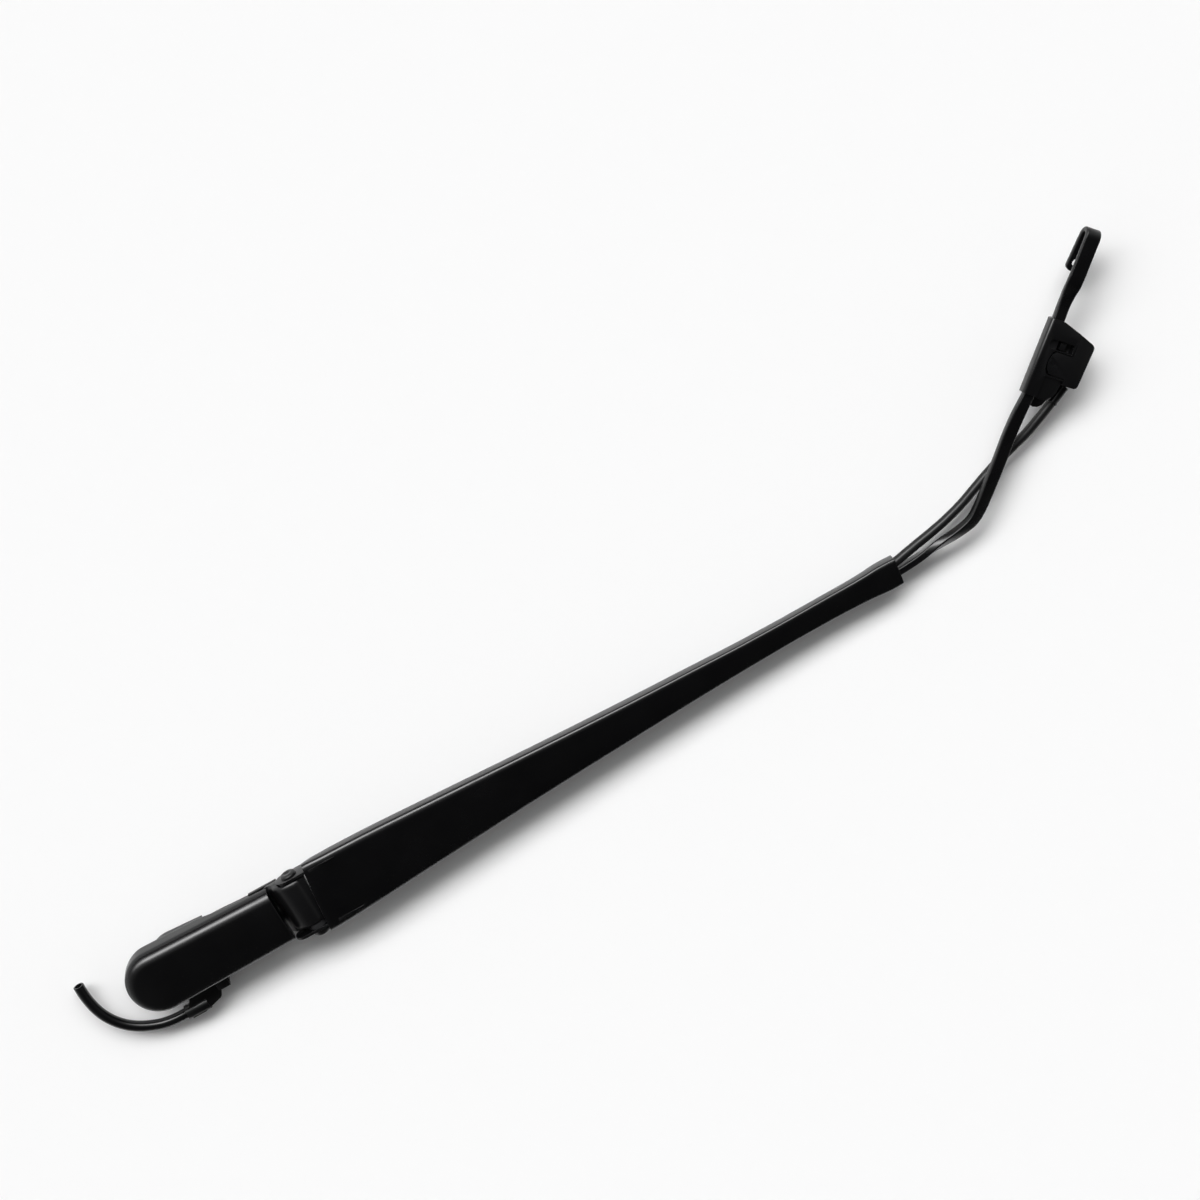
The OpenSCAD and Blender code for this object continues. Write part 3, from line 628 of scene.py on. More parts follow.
class GeometryTree(NodeTree):
    """A geometry node group with named inputs, made in the script."""

    def __init__(self, name: str, inputs: dict[str, str]) -> None:
        """Makes the group and its sockets.

        Args:
            name: The group's name.
            inputs: Input name to socket type.
        """
        super().__init__(bpy.data.node_groups.new(name, "GeometryNodeTree"))
        face = self.tree.interface
        face.new_socket("Geometry", in_out="INPUT", socket_type="NodeSocketGeometry")
        for label, kind in inputs.items():
            face.new_socket(label, in_out="INPUT", socket_type=kind)
        face.new_socket("Geometry", in_out="OUTPUT", socket_type="NodeSocketGeometry")
        self.inputs = self.add("NodeGroupInput").outputs

    def end(self, geometry: bpy.types.NodeSocket) -> None:
        """Realizes the instances, sets the material and links the output.

        Args:
            geometry: The socket that holds the finished geometry.
        """
        real = self.add("GeometryNodeRealizeInstances", {"Geometry": geometry})
        painted = self.add(
            "GeometryNodeSetMaterial", {"Geometry": real.outputs[0], "Material": self.inputs["Material"]}
        )
        self.add("NodeGroupOutput", {"Geometry": painted.outputs[0]})

    def run(self, obj: bpy.types.Object, given: dict[str, Any]) -> None:
        """Runs the tree on an object and keeps the result as its plain mesh.

        Args:
            obj: The object that carries the modifier.
            given: Input name to value.
        """
        modifier = obj.modifiers.new(self.tree.name, "NODES")
        modifier.node_group = self.tree
        keys = {
            item.name: item.identifier
            for item in self.tree.interface.items_tree
            if item.item_type == "SOCKET" and item.in_out == "INPUT"
        }
        for label, setting in given.items():
            modifier[keys[label]] = setting
        settle(obj)


def sweep_tree() -> GeometryTree:
    """Builds a tree that sweeps a round section along a line of edges.

    Returns:
        The tree, with inputs Radius, Sides and Material.
    """
    tree = GeometryTree(
        "sweep", {"Radius": "NodeSocketFloat", "Sides": "NodeSocketInt", "Material": "NodeSocketMaterial"}
    )
    line = tree.add("GeometryNodeMeshToCurve", {"Mesh": tree.inputs["Geometry"]})
    section = tree.add(
        "GeometryNodeCurvePrimitiveCircle",
        {"Resolution": tree.inputs["Sides"], "Radius": tree.inputs["Radius"]},
    )
    swept = tree.add(
        "GeometryNodeCurveToMesh", {"Curve": line.outputs[0], "Profile Curve": section.outputs[0]}
    )
    smooth = tree.add("GeometryNodeSetShadeSmooth", {"Geometry": swept.outputs[0]})
    tree.end(smooth.outputs[0])
    return tree


def coil_tree() -> GeometryTree:
    """Builds a tree that winds a close spring with a loop at each end.

    Returns:
        The tree, whose spring lies along +Z from the origin.
    """
    tree = GeometryTree(
        "coil",
        {
            "Turns": "NodeSocketFloat",
            "Coil Radius": "NodeSocketFloat",
            "Length": "NodeSocketFloat",
            "Wire Radius": "NodeSocketFloat",
            "Loop Radius": "NodeSocketFloat",
            "Loop Reach": "NodeSocketFloat",
            "Material": "NodeSocketMaterial",
        },
    )
    given = tree.inputs
    section = tree.add(
        "GeometryNodeCurvePrimitiveCircle", {"Resolution": WIRE_SIDES, "Radius": given["Wire Radius"]}
    )
    helix = tree.add(
        "GeometryNodeCurveSpiral",
        {
            "Resolution": TURN_STEPS,
            "Rotations": given["Turns"],
            "Start Radius": given["Coil Radius"],
            "End Radius": given["Coil Radius"],
            "Height": given["Length"],
        },
    )
    wound = tree.add(
        "GeometryNodeCurveToMesh",
        {"Curve": helix.outputs[0], "Profile Curve": section.outputs[0], "Fill Caps": True},
    )
    ring = tree.add(
        "GeometryNodeCurvePrimitiveCircle", {"Resolution": LOOP_SIDES, "Radius": given["Loop Radius"]}
    )
    loop = tree.add(
        "GeometryNodeCurveToMesh", {"Curve": ring.outputs[0], "Profile Curve": section.outputs[0]}
    )
    far = tree.add("ShaderNodeMath", {0: given["Length"], 1: given["Loop Reach"]}, operation="ADD")
    near = tree.add("ShaderNodeMath", {0: given["Loop Reach"], 1: -1.0}, operation="MULTIPLY")
    parts = [wound.outputs[0]]
    for height in (near, far):
        spot = tree.add("ShaderNodeCombineXYZ", {"Z": height.outputs[0]})
        parts.append(
            tree.add(
                "GeometryNodeTransform",
                {
                    "Geometry": loop.outputs[0],
                    "Translation": spot.outputs[0],
                    "Rotation": (0.0, math.pi / 2, 0.0),
                },
            ).outputs[0]
        )
    joined = tree.add("GeometryNodeJoinGeometry")
    for part in reversed(parts):
        tree.tree.links.new(part, joined.inputs[0])
    smooth = tree.add("GeometryNodeSetShadeSmooth", {"Geometry": joined.outputs[0]})
    tree.end(smooth.outputs[0])
    return tree


def line_object(name: str, line: Sequence[Vector]) -> bpy.types.Object:
    """Makes an object whose mesh is a line of edges.

    Args:
        name: The object's name.
        line: The line's points in millimetres.

    Returns:
        The object, at the origin.
    """
    data = bpy.data.meshes.new(name)
    data.from_pydata([p * MM for p in line], [(i, i + 1) for i in range(len(line) - 1)], [])
    obj = bpy.data.objects.new(name, data)
    bpy.context.scene.collection.objects.link(obj)
    return obj


def cylinder_cutter(place: Matrix, radius: float, low: float, high: float) -> bpy.types.Object:
    """Makes a round cutter.

    Args:
        place: Takes the cutter's axis, +Z at the origin, to its place in millimetres.
        radius: The cutter's radius.
        low: Height of its lower end.
        high: Height of its upper end.

    Returns:
        The cutter.
    """
    tool = Piece("cutter")
    tool.lathe([(0, low), (radius, low), (radius, high), (0, high)], place, 40)
    return tool.done()


def axis_frame(origin: Sequence[float], along: Sequence[float]) -> Matrix:
    """A frame at a point whose +Z lies along a direction."""
    turn = Vector(along).to_track_quat("Z", "Y").to_matrix().to_4x4()
    return Matrix.Translation(Vector(origin)) @ turn


@dataclass
class Cover:
    """The flip-up cover over the spindle nut, in millimetres.

    Each of `bends` is the start and end angle of one arc of the rounded edge. Its radius goes
    from `far_radii` on +Y to `near_radii` on -Y. `skirt` is the height of the lower rim.
    """

    head_r: float = 19.0
    round_back: float = 11.0
    shoulder_w: float = 17.0
    shoulder_near: float = 17.6
    shoulder_x: float = 68.0
    top: float = 26.0
    bends: tuple[Pair, ...] = ((0, 32), (32, 44), (44, 60), (60, 76))
    far_radii: tuple[float, ...] = (5.0, 7.0, 9.3, 9.0)
    near_radii: tuple[float, ...] = (2.5, 3.0, 4.0, 8.0)
    crown: float = 1.06
    wall: float = 1.1
    side_steps: int = 36
    wall_steps: int = 4
    bend_steps: int = 4
    top_steps: int = 12
    end_centre_z: float = 12.0
    stub_at: Triple = (62.0, 15.4, 20.0)
    skirt: Curve1D = field(
        default_factory=lambda: Curve1D(
            [-40, -31, -28, -13, -11, 25.5, 26.5, 62, 69],
            [[16.0], [15.6], [15.2], [11.1], [11.0], [11.0], [11.7], [17.2], [17.4]],
        )
    )

    def outline(self, count: int = 40) -> list[tuple[Pair, Pair]]:
        """The cover's outline in plan from its near shoulder round to its far one.

        Args:
            count: Steps of the round end.

        Returns:
            Pairs of an outline point and the spine's point behind it.
        """
        reach = self.shoulder_x + self.round_back
        lean_near, lean_far = (
            math.degrees(math.asin((self.head_r - half) / reach))
            for half in (self.shoulder_near, self.shoulder_w)
        )
        side = [self.shoulder_x - reach * t / self.side_steps for t in range(self.side_steps)]

        def straight(x: float, half: float) -> float:
            """Half width of a side at a distance, from its width at the shoulder."""
            return half + (self.head_r - half) * (self.shoulder_x - x) / reach

        made = [((x, -straight(x, self.shoulder_near)), (x, 0.0)) for x in side]
        for x, y in arc((-self.round_back, 0.0), self.head_r, 270 - lean_near, 90 + lean_far, count):
            made.append(((x, y), (-self.round_back, 0.0)))
        made.extend(((x, straight(x, self.shoulder_w)), (x, 0.0)) for x in reversed(side))
        return made

    def build(self) -> bpy.types.Object:
        """Builds the cover with its end wall and gives it its thickness.

        Returns:
            The cover without its stubs.
        """
        piece = Piece("cover")
        stations = self.outline()
        columns = []
        for (x, y), (sx, sy) in stations:
            out, spine = Vector((x, y)), Vector((sx, sy))
            inward = (spine - out).normalized()
            half = (spine - out).length
            low = self.skirt(x)[0]
            near = (1 - y / self.head_r) / 2
            radii = [far + (close - far) * near for far, close in zip(self.far_radii, self.near_radii)]
            edge = shoulder([(a, b, r) for (a, b), r in zip(self.bends, radii)], 0.0, self.bend_steps)
            last, rise = edge[-1]
            centre = self.top - self.crown - rise
            column = [
                Vector((x, y, low + (centre - low) * k / self.wall_steps)) for k in range(self.wall_steps)
            ]
            for reach, height in edge:
                spot = out + inward * reach
                column.append(Vector((spot.x, spot.y, centre + height)))
            for k in range(1, self.top_steps + 1):
                share = k / self.top_steps
                spot = out + inward * (last + (half - last) * share)
                lift = self.crown * (1 - (1 - share) ** 2)
                column.append(Vector((spot.x, spot.y, self.top - self.crown + lift)))
            columns.append(piece.ring(column))
        piece.skin(columns, closed=False)
        bmesh.ops.remove_doubles(piece.mesh, verts=piece.mesh.verts, dist=WELD)
        ends = [v for v in piece.mesh.verts if abs(v.co.x - self.shoulder_x * MM) < TINY]
        ends.sort(key=lambda v: math.atan2(v.co.y, v.co.z - self.end_centre_z * MM))
        piece.mesh.faces.new(ends)
        return piece.done(bevel=0.5, steps=3, limit=50, wall=self.wall)

    def stubs(self) -> bpy.types.Object:
        """Builds the two hinge stubs inside the cover's sides.

        Returns:
            Both stubs as one object.
        """
        piece = Piece("cover_stubs")
        x, y, z = self.stub_at
        profile = [(0, 0), (2.5, 0), (2.5, 1.5), (1.5, 1.5), (1.5, 5.5), (1.1, 5.9), (0, 5.9)]
        for side in (-1, 1):
            piece.lathe(profile, axis_frame((x, side * y, z), (0, -side, 0)), 32)
        return piece.done(bevel=0.15)


@dataclass
class Channel:
    """The pressed channel with its ears, in millimetres.

    Each of `edge` is a bend's start angle, end angle and radius. Each of `ears` is how far the
    ear reaches back over the pin's axis, and where it stands across the arm. A station is its
    distance, half width, middle, top, foot and skew.
    """

    sheet: float = 1.2
    edge: tuple[Triple, ...] = ((-4, 45, 1.8), (45, 65, 4.6), (65, 85, 7.0))
    full_half: float = 19.0
    least_share: float = 0.25
    edge_steps: int = 5
    top_steps: int = 6
    pitch: float = 2.7
    flare_from: float = 453.0
    flare_pitch: float = 1.55
    ear_at: Pair = (83.0, 18.5)
    ear_r: float = 6.1
    ear_t: float = 1.6
    ear_steps: int = 14
    ears: tuple[Pair, ...] = ((8.5, 17.4), (15.0, -18.0))
    ear_root: tuple[Pair, ...] = ((94.5, 24.6), (95.5, 25.4), (112.0, 25.4), (112.0, 17.4), (92.1, 12.4))
    stations: tuple[tuple[float, ...], ...] = (
        (90.5, 22.3, -1.2, 26, 20.6, 0.12),
        (95, 22.15, -1.2, 26, 18.4, 0.115),
        (100, 21.9, -1.2, 26, 17.3, 0.11),
        (112, 21.4, -1, 25.9, 16.4, 0.10),
        (133, 20.3, -0.5, 25.7, 16, 0.07),
        (174, 17.7, 0.1, 25.2, 15.8, 0.03),
        (235, 13.9, 0.7, 24.2, 15.2, 0),
        (296, 10.6, 0.9, 22.8, 13.6, 0),
        (340, 8.7, 1.1, 21.5, 12.6, 0),
        (377, 7.4, 1, 20.2, 11.7, 0),
        (405, 7.0, 1, 19.1, 10.9, 0),
        (425, 7.1, 0.9, 18.3, 10.3, 0),
        (444, 7.4, 0.5, 17.5, 9.4, 0),
        (453, 7.8, 0.3, 17.2, 8.6, 0.03),
        (460, 8.4, 0.1, 17, 7.8, 0.05),
        (466, 8.5, -0.1, 16.8, 7.4, 0.06),
        (471.5, 8.3, -0.2, 16.6, 7.2, 0.06),
    )

    def ring(self, x: float, row: Sequence[float]) -> Ring:
        """Works out one closed section of the channel.

        Args:
            x: The section's distance along the arm.
            row: Its half width, middle, top, foot and skew.

        Returns:
            Its points, outer face first.
        """
        half, mid, top, foot, skew = row
        outer = self.profile(half, top, 0.0)
        inner = self.profile(half, top, self.sheet)
        lean = math.tan(math.radians(-self.edge[0][0]))
        low, deep = half - lean * (outer[0][1] - foot), inner[0][0] - lean * (inner[0][1] - foot)
        line = [(low, foot), *outer, (-low, foot), (-deep, foot), *reversed(inner), (deep, foot)]
        return [Vector((x + skew * y, mid + y, z)) for y, z in line]

    def profile(self, half: float, top: float, inset: float) -> list[Pair]:
        """Works out the rounded shoulders and the slightly crowned top.

        Args:
            half: Half width of the section.
            top: Height of its crown.
            inset: How far the line is drawn in, for the sheet's inner face.

        Returns:
            Points from +Y to -Y.
        """
        share = min(1.0, self.least_share + (1 - self.least_share) * half / self.full_half)
        bends = [(a, b, r * share) for a, b, r in self.edge]
        plain = shoulder(bends, 0.0, self.edge_steps)
        slope = math.tan(math.radians(90 - self.edge[-1][1]))
        crown = 0.5 * slope * (half - plain[-1][0])
        base = top - crown - plain[-1][1]
        right = [(half - reach, base + rise) for reach, rise in shoulder(bends, inset, self.edge_steps)]
        edge = right[-1]
        for k in range(1, self.top_steps + 1):
            left = 1 - k / self.top_steps
            right.append((edge[0] * left, edge[1] + (top - inset - edge[1]) * (1 - left**2)))
        return right + [(-y, z) for y, z in reversed(right[:-1])]

    def build(self) -> bpy.types.Object:
        """Builds the channel and its ears as one pressing.

        Returns:
            The channel.
        """
        at = [s[0] for s in self.stations]
        curve = Curve1D(at, [s[1:] for s in self.stations])
        plain = int((self.flare_from - at[0]) / self.pitch)
        flared = math.ceil((at[-1] - self.flare_from) / self.flare_pitch)
        xs = [at[0] + self.pitch * i for i in range(plain)]
        xs += [self.flare_from + self.flare_pitch * i for i in range(flared)]
        piece = Piece("channel")
        piece.loft([self.ring(x, curve(x)) for x in [*xs, at[-1]]])
        upright = Matrix.Rotation(math.radians(90), 4, "X")
        pin_x, pin_z = self.ear_at
        for nose, face in self.ears:
            tip = arc((pin_x - nose + self.ear_r, pin_z), self.ear_r, 270, 90, self.ear_steps)
            place = Matrix.Translation((0, face, 0)) @ upright
            piece.plate([*tip, *self.ear_root], 0.0, self.ear_t, place)
        return piece.done(bevel=0.35, steps=3, limit=50)


@dataclass
class Rod:
    """The forged rod and its hook, in millimetres."""

    width: float = 6.8
    thick: float = 4.5
    strap: float = 9.0
    strap_t: float = 3.0
    jet_at: Pair = (580.1, 59.1)
    jet_turn: float = 43.6
    rod_z: float = 18.75
    bend_at: float = 91.1
    bend_r: float = 3.9
    hook_z: float = 24.5
    side: float = 1.3
    splay: float = 8.0
    leg: float = 21.0
    hole_at: float = 75.6
    hole_r: float = 2.1
    hole_low: float = 8.0
    hole_high: float = 19.5
    hook_steps: int = 12
    tip: tuple[Pair, ...] = ((0.0, 2.4), (1.6, 0.8), (4.4, 0.0))
    step: float = 2.0
    hook_step: float = 0.7
    hook_lead: float = 1.0
    least_step: float = 0.2
    edge_share: float = 0.3
    edge_most: float = 0.95

    def along(self, s: float, z: float, q: float = 0.0) -> Vector:
        """Works out a point in the jet's frame.

        Args:
            s: Distance along the rod from the jet's origin.
            z: Height.
            q: Distance across the rod.

        Returns:
            The point in the shared frame.
        """
        turn = math.radians(self.jet_turn)
        return Vector(
            (
                self.jet_at[0] + s * math.cos(turn) - q * math.sin(turn),
                self.jet_at[1] + s * math.sin(turn) + q * math.cos(turn),
                z,
            )
        )

    def stations(self) -> list[BarStation]:
        """Works out the rod's stations from the channel to the hook's tip.

        Returns:
            Position, heading, width, thickness, roll and rise of each; angles in degrees.
        """
        w, t, turn = self.width, self.thick, self.jet_turn
        made = [
            (Vector((412, -2.5, 11.2)), 0, w, t, 90, 0),
            (Vector((440, -2.6, 10.7)), 0, w, t, 90, 0),
            (Vector((458, -2.3, 10.4)), 2, w, t, 90, 1),
            (Vector((472, -1.8, 10.5)), 4, w, t, 90, 3),
            (Vector((481, -1, 11)), 6, w, t, 88, 4),
            (Vector((488, -0.2, 11.5)), 7.5, w, t, 80, 5),
            (Vector((494, 0.7, 12.1)), 8.5, w, t, 64, 6),
            (Vector((500, 1.6, 12.7)), 9, w, t, 50, 5),
            (Vector((506, 2.2, 13.2)), 9, w, t, 40, 5),
            (Vector((511.2, 2.8, 13.6)), 11, w, t, 32, 4),
            (Vector((516.3, 3.7, 13.9)), 16, w + 0.2, t, 26, 4),
            (Vector((520.6, 4.8, 14.2)), 24, w + 0.5, t, 21, 4),
            (Vector((524.8, 7.1, 14.5)), 34, w + 0.7, t, 17, 4),
            (Vector((529, 10.4, 14.8)), 40, w + 0.8, t, 13, 4),
            (Vector((534, 15, 15.1)), 43, w + 0.8, t, 9, 4),
            (Vector((541, 21.8, 15.6)), turn, w + 0.8, t, 5, 4),
            (Vector((550.8, 31.5, 16.3)), turn, w + 0.8, t, 2, 4),
            (self.along(-28, self.rod_z - 1.65, 0.8), turn, w + 0.8, t, 0, 4),
            (self.along(-14, self.rod_z - 0.65, 0.8), turn, w + 0.7, t, 0, 3),
            (self.along(-7, self.rod_z - 0.15, 0.4), turn, w + 0.3, t, 0, 1),
            (self.along(-2, self.rod_z), turn, w, t, 0, 0),
            (self.along(51, self.rod_z), turn, w, t, 0, 3),
            (self.along(55, self.rod_z + 0.7, 0.2), turn, w + 0.4, t - 0.3, 0, 18),
            (self.along(60.5, self.hook_z - 2.6, 0.9), turn, self.strap - 0.6, self.strap_t + 0.4, 0, 30),
            (self.along(65, self.hook_z - 0.4, self.side), turn, self.strap, self.strap_t, 0, 12),
            (self.along(69, self.hook_z, self.side), turn, self.strap, self.strap_t, 0, 0),
        ]
        for i in range(self.hook_steps + 1):
            made.append(self.bend(i * (180 - self.splay) / self.hook_steps, self.strap))
        for narrower, shorter in self.tip:
            made.append(self.bend(180 - self.splay, self.strap - narrower, self.leg - shorter))
        return made

    def bend(self, turned: float, width: float, reach: float = 0.0) -> BarStation:
        """Works out a station on the hook's bend, or beyond it on the short leg.

        Args:
            turned: Degrees that the strap has turned by then.
            width: The strap's width there.
            reach: Distance beyond the bend.

        Returns:
            The station.
        """
        a = math.radians(turned)
        spot = self.along(
            self.bend_at + self.bend_r * math.sin(a) + reach * math.cos(a),
            self.hook_z - self.bend_r + self.bend_r * math.cos(a) - reach * math.sin(a),
            self.side,
        )
        return spot, self.jet_turn, width, self.strap_t, 0.0, -turned

    def ring(self, row: Sequence[float]) -> Ring:
        """Works out the bar's section, turned by its heading, rise and roll.

        Args:
            row: A station's numbers, its position first.

        Returns:
            The section's points.
        """
        x, y, z, heading, w, t, roll, rise = row
        s1, c1 = math.sin(math.radians(heading)), math.cos(math.radians(heading))
        s4, c4 = math.sin(math.radians(roll)), math.cos(math.radians(roll))
        s5, c5 = math.sin(math.radians(rise)), math.cos(math.radians(rise))
        across, up = Vector((-s1, c1, 0)), Vector((-s5 * c1, -s5 * s1, c5))
        wide, thick = across * c4 + up * s4, up * c4 - across * s4
        a, b, r = w / 2, t / 2, min(self.edge_most, t * self.edge_share)
        corners = ((a - r, b - r), (r - a, b - r), (r - a, r - b), (a - r, r - b))
        line = [spot for i, corner in enumerate(corners) for spot in arc(corner, r, 90 * i, 90 * i + 90, 4)]
        return [Vector((x, y, z)) + wide * p + thick * q for p, q in line]

    def build(self) -> bpy.types.Object:
        """Builds the rod, its hook and the hook's hole.

        Returns:
            The rod.
        """
        stations = self.stations()
        run = [0.0]
        for one, two in zip(stations, stations[1:]):
            run.append(run[-1] + (two[0] - one[0]).length)
        curve = Curve1D(run, [[*s[0], *s[1:]] for s in stations])
        hook = run[-2 - self.hook_steps - len(self.tip)] - self.hook_lead
        marks = [0.0]
        while marks[-1] < run[-1]:
            marks.append(marks[-1] + (self.hook_step if marks[-1] > hook else self.step))
        marks = [m for m in marks if m < run[-1] - self.least_step] + [run[-1]]
        piece = Piece("rod")
        piece.loft([self.ring(curve(m)) for m in marks])
        centre = Matrix.Translation(self.along(self.hole_at, 0, self.side))
        hole = cylinder_cutter(centre, self.hole_r, self.hole_low, self.hole_high)
        return piece.done(bevel=0.3, steps=2, limit=60, cut=[hole])


@dataclass
class Feed:
    """The washer feed's hoses and their fittings, in millimetres."""

    hose_r: float = 2.8
    bore_r: float = 1.6
    inlet_r: float = 3.15
    inlet_bore: float = 2.1
    feed_at: Triple = (602.3, 50.2, 12.0)
    feed_turn: float = 27.0
    joiner: Triple = (112.0, -10.0, 16.6)
    joiner_half: float = 4.2
    edge_r: float = 0.25

    def feed(self, back: float, drop: float = 0.0) -> Triple:
        """Works out a point on the line into the jet.

        Args:
            back: Distance back from the jet.
            drop: How far the point lies below the line.

        Returns:
            The point.
        """
        turn = math.radians(self.feed_turn)
        x, y, z = self.feed_at
        return (x - back * math.cos(turn), y - back * math.sin(turn), z - drop)

    def hose_line(self) -> list[Triple]:
        """Middle line of the washer hose from the joiner to the sleeve."""
        x, y, z = self.joiner
        return [
            (x + self.joiner_half, y, z), (x + 8, y, z), (x + 13, y, z), (133, -9.8, 16.5),
            (145, -9.2, 16.4), (160, -8.4, 16.4), (178, -7.4, 16.5), (196, -6.4, 16.6),
            (214, -5.4, 16.7), (234, -4.2, 16.6), (254, -3, 16.4), (274, -1.9, 16.2),
            (294, -0.9, 15.9), (314, 0, 15.5), (334, 0.9, 15), (352, 1.5, 14.5),
            (370, 2, 14), (388, 2.4, 13.4), (402, 2.6, 12.8), (416, 2.7, 12.3),
            (430, 2.7, 12), (444, 2.8, 11.8), (456, 3.1, 11.6), (464, 3.4, 11.5), (472, 4.1, 11.4),
            (481, 5.9, 11.1), (490, 7.6, 10.6), (499, 9.2, 10.1), (509, 11.5, 9.7), (521, 15.2, 9.3),
            (532, 19.8, 9.1), (542, 24.1, 9.1), (552, 28, 9.2), (563, 31.8, 9.6), (573, 35.4, 10.3),
            self.feed(24, 0.8), self.feed(18, 0.2), self.feed(12), self.feed(5.5),
        ]

    def hinge_line(self) -> list[Triple]:
        """Middle line of the hose that bends under the folding hinge."""
        x, y, z = self.joiner
        return [
            (24, -7.4, 5), (28, -7.4, 5), (32, -7.4, 5), (38, -7.3, 4.9), (45, -7.2, 4.6), (52, -7.2, 4.5),
            (59, -7.2, 4.5), (66, -7.2, 4.6), (73, -7.2, 4.9), (79, -7.4, 5.8), (85, -7.8, 7.5),
            (90, -8.4, 9.7), (94.5, -9, 12.1), (98.5, -9.6, 14.5), (102, -9.9, 16), (105, y, z),
            (x - self.joiner_half, y, z),
        ]

    def inlet_line(self) -> list[Triple]:
        """Middle line of the curved inlet pipe."""
        y = -31.8
        return [
            (-2, y, 9), (-8, y, 9), (-14, y, 9), (-19.6, -31.5, 9), (-25, -30.7, 8.9), (-30, -29.2, 8.7),
            (-35, -27, 8.6), (-39.6, -24.3, 8.5), (-43.8, -20.9, 8.4), (-47.4, -16.8, 8.3),
            (-50.3, -12.2, 8.2), (-52.5, -7.2, 8.1), (-53.9, -1.9, 8), (-54.6, 3.6, 8), (-54.8, 9, 8),
            (-54.5, 15.4, 8),
        ]

    def hose(
        self,
        name: str,
        line: Sequence[Triple],
        section: Pair,
        step: float,
        slot: str,
        finishes: Finishes,
    ) -> bpy.types.Object:
        """Sweeps a hose along a line and gives it its wall.

        Args:
            name: The piece's name.
            line: Points of its middle line.
            section: Its outer radius and the radius of its bore.
            step: Distance between its rings.
            slot: The slot that it takes.
            finishes: The part's finishes.

        Returns:
            The hose as a plain mesh.
        """
        radius, bore = section
        obj = line_object(name, through(line, step))
        SWEEP.run(obj, {"Radius": radius * MM, "Sides": HOSE_SIDES, "Material": finishes[slot]})
        solid = obj.modifiers.new("wall", "SOLIDIFY")
        solid.thickness, solid.offset = (radius - bore) * MM, -1.0
        edge = obj.modifiers.new("edge", "BEVEL")
        edge.width, edge.segments, edge.limit_method = self.edge_r * MM, 2, "ANGLE"
        edge.angle_limit = math.radians(60)
        settle(obj)
        shade(obj, 40)
        return dress(obj, slot, finishes)

    def fitting(self, name: str, profile: Sequence[Pair], place: Matrix) -> bpy.types.Object:
        """Turns a small fitting.

        Args:
            name: The piece's name.
            profile: Its radius and height pairs.
            place: Takes its axis to its place.

        Returns:
            The fitting.
        """
        piece = Piece(name)
        piece.lathe(profile, place, 40)
        return piece.done(bevel=0.12)

    def build(self, finishes: Finishes) -> None:
        """Builds the hoses, the joiner and the sleeve.

        Args:
            finishes: The part's finishes.
        """
        thin, thick = (self.hose_r, self.bore_r), (self.inlet_r, self.inlet_bore)
        washer = self.hose("washer_line", self.hose_line(), thin, 1.6, "hose_rubber", finishes)
        seat(washer, Body.ARM, "washer_hose")
        inlet = self.hose("inlet_hose", self.inlet_line(), thick, 0.8, "pipe_rubber", finishes)
        seat(inlet, Body.HEAD, "inlet_pipe")
        bent = self.hose("hinge_line", self.hinge_line(), thin, 1.0, "hose_rubber", finishes)
        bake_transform(bent)
        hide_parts("hinge_hose")
        LOG.info("%s bends between head and arm", bent.name)
        barb = [(1.6, 0), (1.9, 1.6), (1.6, 1.7)]
        turned = [(r, 2.3 - z) for r, z in reversed(barb)]
        tail = [(r, z + shift) for shift in (4.6, 6.9) for r, z in turned]
        barbs = [(min(r, self.bore_r), z) for r, z in tail]
        half = [(3.0, 0.0), (3.0, 3.4), (2.6, 4.0), (1.5, 4.0), *barbs, (1.4, 11), (0.8, 11)]
        profile = [(0.8, -11), *[(r, -z) for r, z in reversed(half[:-1])], *half[1:], (0.8, -11)]
        joiner = self.fitting("joiner", profile, axis_frame(self.joiner, (1, 0, 0)))
        seat(dress(joiner, "feed_plastic", finishes), Body.ARM, "hose_joiner")
        turn = math.radians(self.feed_turn)
        collar = [(2.82, 0), (3.1, 0), (3.35, 0.5), (3.35, 1.3), (3.12, 1.8), (3.12, 10.2), (3.3, 10.7)]
        collar += [(3.3, 12), (2.82, 12), (2.82, 0)]
        inward = axis_frame(self.feed(13), (math.cos(turn), math.sin(turn), 0))
        sleeve = self.fitting("sleeve", collar, inward)
        seat(dress(sleeve, "pipe_rubber", finishes), Body.ARM, "hose_sleeve")


@dataclass
class Hinge:
    """The folding hinge's pin, in millimetres."""

    at: Pair = (83.0, 18.0)
    pin_r: float = 3.5
    head_r: float = 4.8
    near_r: float = 5.2
    ear_near: float = 19.6
    ear_far: float = 17.4

    def pin(self) -> bpy.types.Object:
        """Builds the riveted pin with its two heads.

        Returns:
            The pin.
        """
        piece = Piece("pin")
        n, b = self.ear_near, self.near_r
        e, r = self.ear_far, self.head_r
        profile = [
            (0, -n - 4.4), (1.4, -n - 4.4), (1.7, -n - 4.1), (b - 1.5, -n - 4.3), (b - 0.7, -n - 3.9),
            (b - 0.15, -n - 3.2), (b, -n - 2.2), (b, -n - 0.3), (b - 0.3, -n), (self.pin_r, -n),
            (self.pin_r, e), (r - 0.1, e), (r, e + 0.8), (r - 0.5, e + 1.4), (r - 1.6, e + 1.8),
            (2.0, e + 1.8), (1.4, e + 1.3), (0, e + 1.2),
        ]
        piece.lathe(profile, axis_frame((self.at[0], 0, self.at[1]), (0, 1, 0)), 56)
        return piece.done(sharp=50)


